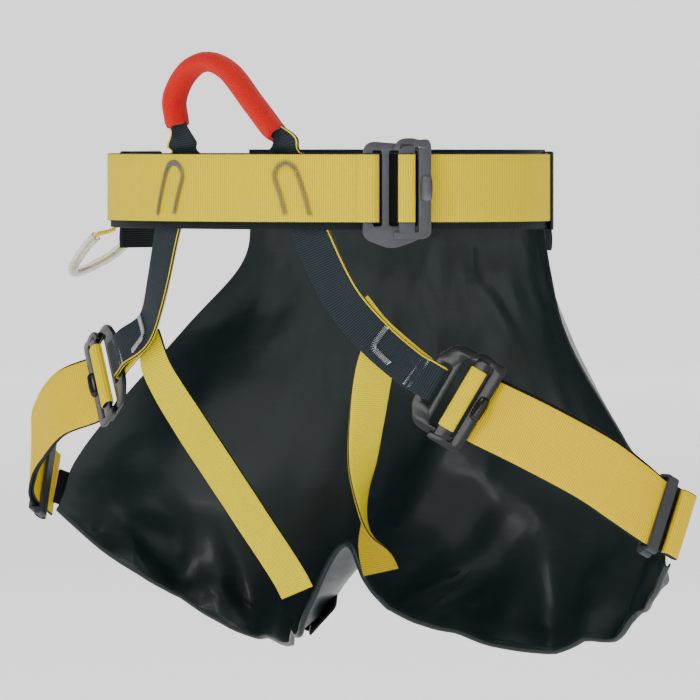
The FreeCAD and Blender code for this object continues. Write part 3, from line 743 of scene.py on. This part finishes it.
def seat_part(name, columns, rows, away, thick, material, steps=(8, 8), curl=0.0):
    """Part of the sheet as its own piece, between two columns and two rows; curl rolls its hem."""
    across = max(2, round(abs(columns[1] - columns[0]) * steps[0]))
    down = max(2, round((rows[1] - rows[0]) * steps[1]))
    net = []
    for j in range(down + 1):
        row = rows[0] + (rows[1] - rows[0]) * j / down
        net.append([seat_at(columns[0] + (columns[1] - columns[0]) * i / across, row, away)
                    for i in range(across + 1)])
    lines = [[point for point, out in line] for line in net]
    if curl:
        for turn in range(1, 9):
            a = math.radians(25 * turn)
            rolled = []
            for i, (point, out) in enumerate(net[-1]):
                along = (point - net[-2][i][0]).normalized()
                rolled.append(point + along * (curl * math.sin(a)) + out * (curl * (1 - math.cos(a))))
            lines.append(rolled)
    vertices = [point for line in lines for point in line]
    faces = []
    for j in range(len(lines) - 1):
        for i in range(across):
            k = j * (across + 1) + i
            faces.append((k, k + 1, k + across + 2, k + across + 1))
    piece = mesh_object(name, vertices, faces)
    uv = piece.data.uv_layers.new(name="UVMap")
    for loop in piece.data.loops:
        j, i = divmod(loop.vertex_index, across + 1)
        uv.data[loop.index].uv = (i / across * abs(columns[1] - columns[0]) * 0.055, j / steps[1] * 0.05)
    piece.data.materials.append(material)
    wall = piece.modifiers.new("thickness", "SOLIDIFY")
    wall.thickness, wall.offset = thick, 0
    settle(piece)
    piece.data.set_sharp_from_angle(angle=math.radians(50))
    return piece


def coated_fabric():
    """Satin coated fabric: fine emboss, soft cloudy sheen, scuffs, and a slight skin of gloss."""
    m = Nodes("coated_fabric", Specular_IOR_Level=0.26, Coat_Weight=0.11, Coat_Roughness=0.18)
    clouds = m.noise(9, 4)
    scuffs = m.noise(60, 6, "Object", (1, 1, 4))
    deep = m.mix(clouds, (0.0028, 0.0078, 0.0092), (0.0070, 0.0150, 0.0175))
    m.colour(m.mix(m.math("MULTIPLY", m.math("SUBTRACT", scuffs, 0.56, True), 1.6, True), deep,
                   (0.016, 0.026, 0.030)))
    m.join(m.math("ADD", m.math("MULTIPLY", scuffs, 0.22), 0.30), m.shader.inputs["Roughness"])
    fine, broad = m.noise(1500, 2), m.noise(120, 4)
    height = m.math("ADD", m.math("MULTIPLY", fine, 0.35), m.math("MULTIPLY", broad, 0.65))
    m.relief(height, 0.0004, 0.5)
    return m.material


slate_fabric = coated_fabric()
protector = seat_part("seat_protector_sheet", (-5.0, 5.0), (0.0, 7.0), 0.0, SHEET_THICK, slate_fabric,
                      (12, 14), 0.0016)
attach(protector, "harness")
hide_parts("seat_protector")

PATCH_AWAY = -SHEET_THICK / 2 - 0.0002
for side, name in ((1, "left"), (-1, "right")):
    flat_pieces = {
        "strap_tunnel_": ((side * 2.0, side * 3.67), (5.0, 6.62), 0.0072, 0.0011),
        "inner_corner_patch_": ((side * 0.67, side * 1.67), (6.0, 6.94), PATCH_AWAY, 0.0003),
        "outer_corner_patch_": ((side * 4.33, side * 4.99), (5.67, 6.94), PATCH_AWAY, 0.0003),
        "hem_fold_": ((side * 2.0, side * 4.0), (6.67, 6.94), PATCH_AWAY, 0.0003),
    }
    for node, (columns, rows, away, thick) in flat_pieces.items():
        if side < 0:
            columns = (columns[1], columns[0])
        patch = seat_part(node + name + "_fabric", columns, rows, away, thick, slate_fabric, (14, 14))
        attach(patch, "harness")
        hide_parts(node + name)

sleeve_rows = []
for step in range(61):
    angle = -45 + 90 * step / 60
    sleeve_rows.append((ring_point(angle, -0.0033, -0.0018), Vector((0, 0, -1)), ring_normal(angle)))
belt_sleeve = webbing_mesh("belt_sleeve", sleeve_rows, 0.0465, 0.0011, [slate_fabric])
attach(belt_sleeve, "harness")
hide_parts("protector_belt_sleeve")


# ---- Risers -------------------------------------------------------------------------------------
# Two 25 mm lengths of black webbing with a yellow back. Each runs down inside the belt, out to its
# leg buckle, round the buckle's bar, and is sewn back behind itself, where its yellow back shows.

NARROW = 0.025
RISER_DEPTH = 0.0044
BUCKLE_LIFT = 0.010                  # the right leg buckle sits this much higher than the left one
RIGHT_LIFT = 0.013
JOIN = mm(91.0, -82.5, -98.0)        # where the inner leg strap is sewn behind the riser

leg_places = {"left": Place(mm(136.9, -59.0, -134.0), Vector((0.723, 0.469, -0.506)),
                            Vector((0.424, 0.276, 0.862)))}


def to_right(point, lift=0.0):
    """The same place on the wearer's right, a little higher."""
    return Vector((-point.x, point.y, point.z + lift))


def lifted(stations, lift):
    return [(point + Vector((0, 0, lift)), facing) for point, facing in stations]


class MirroredPlace:
    """A left buckle's frame carried over to the wearer's right, so that its x and n still fit."""

    def __init__(self, left, lift):
        self.left, self.lift = left, lift
        self.o = to_right(left.o, lift)
        self.x, self.y, self.n = (Vector((-d.x, d.y, d.z)) for d in (left.x, left.y, left.n))

    def at(self, x, y, n):
        return to_right(self.left.at(x, y, n), self.lift)


leg_places["right"] = MirroredPlace(leg_places["left"], BUCKLE_LIFT)


def riser_stations(lift):
    p = Place(leg_places["left"].o + Vector((0, 0, lift)), leg_places["left"].x, leg_places["left"].y)
    out = Vector((0.54, -0.84, 0))
    back = out * -0.00235 + (p.y * 0.0016 if lift == 0 else Vector((0.84, 0.54, 0)) * 0.006)
    a, b = WAIST_A - RISER_DEPTH, WAIST_B - RISER_DEPTH
    stations = []
    for x, z in ((0.040, 0.021), (0.0415, 0.013), (0.0465, -0.002), (0.0556, -0.027)):
        y = -b * math.sqrt(1 - (x / a) ** 2)
        stations.append((Vector((x, y, z)), Vector((x / a ** 2, y / b ** 2, 0)).normalized()))
    join = JOIN + Vector((0, 0, lift * 0.4))
    stations.append((mm(72.5, -96.5, -70.0) + Vector((0, 0, lift * 0.2)), Vector((0.40, -0.91, 0))))
    stations.append((join, out))
    stations.append((p.at(-34, 0, BAR_BEND * 0.8), out))
    stations.append((p.at(-22, 0, BAR_BEND), p.n))
    stations.append((p.at(LEFT_BAR_END, 0, BAR_BEND), p.n + p.x * 0.2))
    stations.append((p.at(LEFT_BAR_END + BAR_BEND, 0, 0), p.x))
    stations.append((p.at(LEFT_BAR_END, 0, -BAR_BEND), p.x * 0.2 - p.n))
    stations.append((p.at(-24, 0, -BAR_BEND * 0.9), p.n * -1))
    stations.append((join + back, out * -1))
    stations.append((mm(78.5, -92.0, -79.0) + Vector((0, 0, lift * 0.25)) + back, out * -1))
    return stations


def right_hand(stations):
    return [(to_right(point), Vector((-facing.x, facing.y, facing.z))) for point, facing in stations]


riser_front = webbing_material("riser_black_webbing", scaled(BLACK, 2.6), NARROW / 2,
                               scaled(YELLOW, 0.8), ((-0.96, -0.88),), 0.25)
riser_back = webbing_material("riser_yellow_webbing", YELLOW, NARROW / 2, BLACK,
                              ((-0.80, -0.66), (0.66, 0.80)))
for side in ("left", "right"):
    lift = 0.0 if side == "left" else BUCKLE_LIFT
    stations = riser_stations(lift)
    if side == "right":
        stations = right_hand(stations)
    riser = strap("riser_" + side + "_webbing", stations, NARROW, [riser_front, riser_back], seed=3)
    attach(riser, "harness")
    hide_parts("riser_" + side)


# ---- Tie-in loop --------------------------------------------------------------------------------
# The risers' webbing carried up above the belt as one loop, folded narrow and covered by a woven
# red tube that takes the wear. Rope and lanyards are tied through it.

LOOP_LINE = [(-40.4, 15.0), (-40.6, 22.0), (-41.0, 28.0), (-42.5, 36.0), (-45.5, 46.0), (-46.5, 60.0),
             (-36.0, 76.5), (-20.6, 82.7), (-3.5, 76.0), (14.0, 57.0), (30.0, 39.0), (36.5, 33.5),
             (39.5, 28.0), (40.0, 22.0), (39.6, 15.0)]
LOOP_Y = -0.1126
LOOP_TUCK = 0.0036                   # how far back the feet lie where they go down behind the risers
TUCKED_BELOW = 24                    # mm: lower than this, the feet are behind the risers
RED = (0.88, 0.008, 0.0)

loop_curve = smooth([Vector((x / 1000, LOOP_Y + (LOOP_TUCK if z < TUCKED_BELOW else 0), z / 1000))
                     for x, z in LOOP_LINE], 8)
loop_rows = []
for i, centre in enumerate(loop_curve):
    run = (loop_curve[min(i + 1, len(loop_curve) - 1)] - loop_curve[max(i - 1, 0)]).normalized()
    share = min(1.0, max(0, min(i, len(loop_curve) - 1 - i) - 14) / 14)
    loop_rows.append((centre, run.cross(Vector((0, 1, 0))) * (1 - 0.50 * share * share * (3 - 2 * share)),
                      Vector((0, -1, 0))))
loop_front = webbing_material("loop_black_webbing", scaled(BLACK, 2.6), NARROW / 2, YELLOW,
                              ((0.86, 0.96),), 0.25)
loop_webbing = webbing_mesh("tie_in_loop_strap", loop_rows, NARROW, WEBBING, [loop_front])
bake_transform(loop_webbing)
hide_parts("tie_in_loop_webbing")


def woven_tube():
    """Tubular weave: crossing diagonal ribs, seen by relief and by painted shade in the valleys between them.
    """
    m = Nodes("red_woven_tube", Roughness=0.7, Specular_IOR_Level=0.2, Sheen_Weight=0.08, Sheen_Roughness=0.5)
    round_way, along = m.uv()
    waves = []
    for slant in (1, -1):
        phase = m.math("ADD", m.math("MULTIPLY", round_way, slant * 3100.0),
                       m.math("MULTIPLY", along, 2600.0))
        waves.append(m.math("ABSOLUTE", m.math("SINE", phase)))
    weave = m.math("MULTIPLY", waves[0], waves[1])
    fuzz = m.noise(500, 3)
    # painted shade: the red darkens where the weave dips between its ribs, mixed with the fuzz
    texture_and_groove_shade = m.math("ADD", weave, m.math("MULTIPLY", fuzz, 0.35), True)
    m.colour(m.mix(texture_and_groove_shade, scaled(RED, 0.45), RED))
    m.relief(m.math("ADD", weave, m.math("MULTIPLY", fuzz, 0.3)), 0.0003)
    return m.material


sheath_curve = loop_curve[28:-28]
sheath_rings = []
for i, centre in enumerate(sheath_curve):
    run = (sheath_curve[min(i + 1, len(sheath_curve) - 1)] - sheath_curve[max(i - 1, 0)]).normalized()
    side_way = run.cross(Vector((0, 1, 0))).normalized()
    near_end = min(i, len(sheath_curve) - 1 - i)
    gather = 1.0 - 0.10 * math.exp(-near_end / 1.6)
    ring = []
    for k in range(32):
        a = 2 * math.pi * k / 32
        crease = 1 + 0.035 * noise.noise(Vector((i * 0.22, math.cos(a) * 1.5, math.sin(a) * 1.5)))
        ring.append(centre + side_way * (0.0067 * math.cos(a) * gather * crease)
                    + Vector((0, 0.0108 * math.sin(a) * gather * crease, 0)))
    sheath_rings.append(ring)
for end in (0, -1):                  # the tube's ends are turned in
    centre = sheath_curve[end]
    inner = [[centre + (p - centre) * share for p in sheath_rings[end]] for share in (0.86, 0.62)]
    sheath_rings = inner[::-1] + sheath_rings if end == 0 else sheath_rings + inner
sheath = closed_strip("tie_in_loop_tube", sheath_rings, [woven_tube()], False)
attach(sheath, "tie_in_loop")
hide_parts("tie_in_loop_sheath")


# ---- Inner leg straps ---------------------------------------------------------------------------
# 25 mm yellow webbing, sewn behind each riser and to the inner corner of each cup. The left one
# turns over once on its way down, so its back shows in its lower half, painted darker as shade.

inner_face = webbing_material("inner_strap_webbing", (0.80, 0.64, 0.0), NARROW / 2, BLACK, EDGE_LINES)
# painted shade: the back is the same yellow webbing, painted in a darker ochre as if in shadow
shaded_inner_back = webbing_material("inner_strap_shaded_back", (0.42, 0.29, 0.0), NARROW / 2, scaled(BLACK, 1.5),
                              ((-1.01, -0.93),))
OUT_LEFT = Vector((0.545, -0.839, 0))
inner_stations = {
    "left": [((93.0, -76.0, -102.0), OUT_LEFT), ((84.0, -72.5, -118.0), OUT_LEFT),
             ((72.0, -62.0, -145.0), (0.72, -0.66, 0.1)), ((55.0, -42.0, -182.0), (0.90, -0.38, 0.1)),
             ((42.0, -20.0, -215.0), (0.93, 0.30, 0.2)), ((38.0, -3.0, -240.0), (0.05, 0.95, 0.0)),
             ((38.5, 5.0, -256.0), (-0.35, 0.90, -0.1))],
    "right": [((-92.0, -76.0, -98.0), (-0.4, -0.85, 0)), ((-84.0, -77.5, -122.0), (0.0, -0.95, -0.2)),
              ((-71.0, -57.0, -160.0), (0.35, -0.93, -0.45)), ((-52.0, -25.0, -212.0), (0.35, -0.93, -0.45)),
              ((-36.0, 2.0, -256.0), (0.35, -0.93, -0.45)), ((-30.5, 9.5, -272.0), (0.35, -0.93, -0.45))],
}
for side, stations in inner_stations.items():
    route = [(mm(*point), Vector(facing)) for point, facing in stations]
    inner = strap("inner_leg_webbing_" + side, route, NARROW, [inner_face, shaded_inner_back], ripple=0.0005, seed=5)
    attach(inner, "harness")
    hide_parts("inner_leg_strap_" + side)


# ---- Outer leg straps ---------------------------------------------------------------------------
# 45 mm webbing round each thigh in two layers. The load layer runs from the cup's outer corner to
# the lock bar; the free end lies on top of it, back out to the keeper.

outer_line = [((188.1, -44.2, -160.7), (0.56, -0.83, 0)), ((219.9, -24.1, -181.0), (0.70, -0.71, 0)),
              ((236.5, -8.0, -197.0), (0.85, -0.53, 0)), ((245.0, 8.0, -209.0), (0.94, -0.33, 0)),
              ((248.5, 26.0, -217.0), (0.98, -0.18, 0))]
LAYER_DEPTH = 0.00235
LOAD_RISE = 0.0018                   # the load layer sits a little higher, so its edge shows
STRAP_START = 16.5                   # from the buckle's middle, under the adjuster's bar
keeper_run = Vector((3.5, 18.0, -8.0)).normalized()
keeper_places = {"left": Place(mm(246.8, 17.0, -213.0), keeper_run,
                               Vector((0.96, -0.26, 0)).cross(keeper_run))}
keeper_places["right"] = MirroredPlace(keeper_places["left"], RIGHT_LIFT)


def outer_stations(side, start, end):
    """From the buckle's adjuster bar round the thigh to the keeper, on the wearer's left."""
    lift = Vector((0, 0, RIGHT_LIFT if side == "right" else 0))
    near = Vector((0, 0, BUCKLE_LIFT if side == "right" else 0))
    p, k = leg_places["left"], keeper_places["left"]
    stations = [(p.at(start, 0, -0.3) + near, p.n), (p.at(start + 9.0, 0, 0.5) + near, p.n)]
    stations += [(mm(*point) + lift, Vector(facing)) for point, facing in outer_line[:-1]]
    stations.append((k.at(end, 0, 0) + lift, k.n))
    return stations


outer_yellow = webbing_material("outer_strap_webbing", (0.92, 0.63, 0.0), BELT_WIDTH / 2, BLACK,
                                ((-1.01, -0.985), (0.965, 1.01)))
outer_black = webbing_material("outer_strap_back", BLACK, BELT_WIDTH / 2, groove_shade=0.3)
for side in ("left", "right"):
    for layer, end, under, rise, faces in (
            ("free_strap_", 6.0, 0.0, 0.0, [outer_yellow, outer_black]),
            ("load_strap_", 20.0, LAYER_DEPTH, LOAD_RISE, [outer_black, outer_yellow])):
        rows = strap_rows(outer_stations(side, STRAP_START, end), 8, under, rise, 0.0003, 7)
        if side == "right":
            rows = [(to_right(c), Vector((-a.x, a.y, a.z)), Vector((-f.x, f.y, f.z))) for c, a, f in rows]
        outer = webbing_mesh(layer + side + "_webbing", rows, BELT_WIDTH, WEBBING, faces)
        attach(outer, "harness")
        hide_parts(layer + side)


# ---- Rear leg straps ----------------------------------------------------------------------------
# 25 mm webbing behind each cup, from its inner corner through a welded tunnel to its outer corner,
# where it meets the load layer at the keeper.

REAR_ROUTE = [(1.333, 6.667, 4.2), (1.667, 6.333, 4.0), (2.0, 6.0, 3.6), (2.667, 6.0, 3.6), (3.333, 6.0, 3.8),
              (4.0, 5.667, 4.6), (4.333, 5.667, 5.6)]
narrow_yellow = webbing_material("narrow_yellow_webbing", YELLOW, NARROW / 2, BLACK, EDGE_LINES)
narrow_black = webbing_material("narrow_black_webbing", BLACK, NARROW / 2, groove_shade=0.3)
for side, sign, lift in (("left", 1, 0.0), ("right", -1, RIGHT_LIFT)):
    route = []
    for column, row, away in smooth([Vector(stop) for stop in REAR_ROUTE], 5):
        route.append(seat_at(sign * column, row, away / 1000))
    end = keeper_places["left"].at(17.0, 0, -LAYER_DEPTH * 2000) + Vector((0, 0, lift))
    facing = keeper_places["left"].n
    route.append((Vector((sign * end.x, end.y, end.z)), Vector((sign * facing.x, facing.y, 0))))
    rear = strap("rear_leg_webbing_" + side, route, NARROW, [narrow_yellow, narrow_black], steps=3)
    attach(rear, "harness")
    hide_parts("rear_leg_strap_" + side)


# ---- Leg buckles --------------------------------------------------------------------------------
# The same quick-adjust buckle as on the belt, in glossy black, with a narrower slot for the riser.

gloss_black = metal("gloss_black_alloy", (0.005, 0.006, 0.007), 0.20, 0.0, 0.22, (0.20, 0.22, 0.24),
                    0.05, 0.10, 0.20)
LEG_ANCHOR = [(-21, 16.5, 4), (-13, 29.0, 6), (15, 29.5, 4), (15, -29.5, 4), (-13, -29.0, 6), (-21, -16.5, 4)]
leg_yellow = webbing_material("leg_turn_webbing", YELLOW, BELT_WIDTH / 2, BLACK, EDGE_LINES)
for side, place in leg_places.items():
    for piece in buckle("leg_buckle", "_" + side, place, LEG_ANCHOR, 14.5, gloss_black,
                        ("leg_adjuster_" + side, "leg_lock_bar_" + side)):
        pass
    turn = webbing_round_bar("leg_strap_turn_" + side, place, BELT_WIDTH - 0.001, [leg_yellow, outer_black])
    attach(turn, "leg_lock_bar_" + side)
    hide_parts("leg_buckle_webbing_turn_" + side)


# ---- Keepers and strap tails --------------------------------------------------------------------
# A moulded rubber ring holds the two layers of each outer strap together. Beyond it the spare
# webbing is rolled flat, black side in, and its open end shows the layers.

def moulded_rubber():
    """Matt moulded rubber with fine pores and a cloudy tone."""
    m = Nodes("moulded_rubber", Specular_IOR_Level=0.4)
    clouds = m.noise(90, 4)
    m.colour(m.mix(clouds, (0.016, 0.019, 0.022), (0.034, 0.039, 0.045)))
    m.join(m.math("ADD", m.math("MULTIPLY", clouds, 0.25), 0.42), m.shader.inputs["Roughness"])
    m.relief(m.noise(1800, 3), 0.00008, 0.6)
    return m.material


rubber = moulded_rubber()
for side in ("left", "right"):
    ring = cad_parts["leg_keeper_" + side]
    ring.data.materials.clear()
    ring.data.materials.append(rubber)

TAIL_START, TAIL_LONG, TAIL_THICK = 9.5, 15.0, 8.0
TAIL_TURNS = 1.45
for side in ("left", "right"):
    k = keeper_places[side]
    rows = []
    count = 66
    middle_x = TAIL_START + TAIL_LONG / 2
    middle_n = TAIL_THICK / 2 + 1.0 - LAYER_DEPTH * 1000 + 1.2
    for i in range(count + 1):
        turn = TAIL_TURNS * i / count
        a = math.radians(-150) - turn * 2 * math.pi
        shrink = 2.15 * max(0.0, turn - 0.12)
        half_x, half_n = TAIL_LONG / 2 - 1.05 - shrink * 0.9, TAIL_THICK / 2 - 1.05 - shrink * 0.75
        c, s = math.cos(a), math.sin(a)
        x = math.copysign(abs(c) ** 0.75, c) * half_x
        n = math.copysign(abs(s) ** 0.75, s) * half_n
        face = (k.x * (c / half_x) + k.n * (s / half_n)).normalized()
        rows.append((k.at(middle_x + x, 0.0, middle_n + n), k.y, face))
    tail = webbing_mesh("strap_tail_" + side + "_roll", rows, BELT_WIDTH, 0.0018, [outer_yellow, outer_black])
    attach(tail, "tail_" + side)
    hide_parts("strap_tail_" + side)


# ---- Gear loop ----------------------------------------------------------------------------------
# A narrow yellow webbing loop on the wearer's right hip, run through clear plastic tube that keeps
# it open, and sewn under the belt at both ends.

GEAR_LINE = [(-147.0, -56.5, -31.5), (-158.0, -55.0, -40.0), (-173.0, -47.0, -52.0), (-184.0, -32.0, -58.0),
             (-184.0, -14.0, -55.0), (-174.0, 0.0, -46.0), (-163.5, 5.0, -35.5)]
GEAR_OUTER, GEAR_INNER = 0.0034, 0.0027


def round_rings(points, radius, sides=24):
    rings = []
    for i, centre in enumerate(points):
        run = (points[min(i + 1, len(points) - 1)] - points[max(i - 1, 0)]).normalized()
        side_way = run.cross(Vector((0, 0, 1))).normalized()
        up = side_way.cross(run)
        rings.append([centre + (side_way * math.cos(2 * math.pi * k / sides)
                                + up * math.sin(2 * math.pi * k / sides)) * radius for k in range(sides)])
    return rings


gear_curve = smooth([mm(*p) for p in GEAR_LINE], 10)
clear = Nodes("clear_tube", Roughness=0.14, IOR=1.36, Transmission_Weight=0.82)
tube_haze = clear.noise(300, 3)
clear.colour(clear.mix(tube_haze, (0.93, 0.93, 0.86), (0.99, 0.99, 0.96)))
clear.relief(tube_haze, 0.00005, 0.5)
tube_curve = gear_curve[2:-2]
tube_rings = round_rings(tube_curve, GEAR_OUTER) + round_rings(tube_curve, GEAR_INNER)[::-1]
gear_tube = closed_strip("gear_loop_clear_tube", tube_rings + tube_rings[:1], [clear.material], False)
gear_face = webbing_material("gear_loop_yellow", (0.88, 0.64, 0.0), 0.0022, BLACK, ((0.80, 1.01),))
tucked = [ring_point(-116.6, -0.0048, -0.021), ring_point(-116.6, -0.0030, -0.0285)] + gear_curve \
    + [ring_point(-87.7, 0.0028, -0.0352)]
gear_web = strap("gear_loop_strap", [(p, Vector((-0.4, -0.5, 0.7))) for p in tucked], 0.0050, [gear_face],
                 thick=0.0014, steps=2)
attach(gear_tube, "gear_loop")
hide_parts("gear_loop_tube")
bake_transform(gear_web)
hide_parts("gear_loop_webbing")


# ---- Bar tacks and seams ------------------------------------------------------------------------
# Dense zigzag stitching in thick grey thread: an arch on the belt over the top of each riser, and
# a hook on each riser over the inner strap. Finer pale seams cross the straps at the buckles.

THREAD = 0.00050


def thread_material(name, colour):
    """Twisted thread: a fine slant along its length and a little fuzz."""
    m = Nodes(name, Roughness=0.6, Specular_IOR_Level=0.35, Sheen_Weight=0.1)
    fuzz = m.noise(2500, 3)
    m.colour(m.mix(fuzz, scaled(colour, 0.6), scaled(colour, 1.15)))
    m.relief(fuzz, 0.0001)
    return m.material


def zigzag(name, stations, width, pitch, thread, material):
    """Thread laid from side to side along a line of (point, facing) stations."""
    rows = strap_rows(stations, steps=24)
    lengths = [0.0]
    for before, after in zip(rows, rows[1:]):
        lengths.append(lengths[-1] + (after[0] - before[0]).length)
    stitches = max(2, round(lengths[-1] / pitch))
    points = []
    place = 0
    for k in range(stitches * 2 + 1):
        want = lengths[-1] * k / (stitches * 2)
        while place < len(rows) - 2 and lengths[place + 1] < want:
            place += 1
        share = (want - lengths[place]) / max(1e-9, lengths[place + 1] - lengths[place])
        centre = rows[place][0].lerp(rows[place + 1][0], min(1.0, share))
        swing = width / 2 * (1 if k % 2 else -1)
        points.append(centre + rows[place][1] * swing)
    line = bpy.data.curves.new(name, "CURVE")
    line.dimensions = "3D"
    line.bevel_depth = thread
    line.bevel_resolution = 1
    line.resolution_u = 1
    spline = line.splines.new("POLY")
    spline.points.add(len(points) - 1)
    for point, target in zip(points, spline.points):
        target.co = (*point, 1)
    drawing = bpy.data.objects.new(name, line)
    scene.collection.objects.link(drawing)
    data = bpy.data.meshes.new_from_object(drawing)
    bpy.data.objects.remove(drawing)
    piece = bpy.data.objects.new(name, data)
    scene.collection.objects.link(piece)
    data.materials.clear()
    data.materials.append(material)
    data.polygons.foreach_set("use_smooth", [True] * len(data.polygons))
    return piece


grey_thread = thread_material("grey_thread", (0.25, 0.23, 0.26))
pale_thread = thread_material("pale_thread", (0.72, 0.72, 0.74))
BELT_TACK = [(43.0, -17.0), (39.5, -4.5), (35.5, 8.0), (38.5, 14.5), (43.5, 16.5), (48.5, 14.0), (51.5, 8.0),
             (55.5, -4.5), (59.0, -17.5)]
left_join = leg_places["left"]
riser_flat = Place(JOIN, left_join.at(-34, 0, 2.0) - JOIN,
                   Vector((0.54, -0.84, 0)).cross(left_join.at(-34, 0, 2.0) - JOIN))
for side in ("left", "right"):
    belt_tack, riser_tack = [], []
    for x, z in BELT_TACK:
        angle = 180 - math.degrees(math.asin(x / 1000 / WAIST_A))
        belt_tack.append((ring_point(angle, WEBBING + 0.0009, z / 1000), ring_normal(angle)))
    for x, y in ((1.0, 10.5), (1.5, 1.0), (3.0, -5.0), (9.0, -6.0), (18.0, -6.5)):
        riser_tack.append((riser_flat.at(x, y, 1.75), riser_flat.n))
    if side == "right":
        belt_tack = right_hand(belt_tack)
        riser_tack = lifted(right_hand(riser_tack), RIGHT_LIFT * 0.4)
    for stations, node, thread in ((belt_tack, "belt_bar_tack_", grey_thread),
                                   (riser_tack, "riser_bar_tack_", pale_thread)):
        tack = zigzag(node + side + "_stitches", stations, 0.0033, 0.00115, THREAD, thread)
        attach(tack, "harness")
        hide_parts(node + side)


for side in ("left", "right"):
    p = leg_places[side]
    for number, x in enumerate((-30.5, -27.0)):
        across_riser = [(p.at(x + 0.12 * y, y, 3.85 - 0.05 * abs(x + 25)), p.n) for y in (-11, -4, 4, 11)]
        seam = zigzag("riser_seam_%s_%d" % (side, number), across_riser, 0.0016, 0.0012, 0.00026, pale_thread)
        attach(seam, "harness")
        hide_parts("riser_bar_tack_" + side)
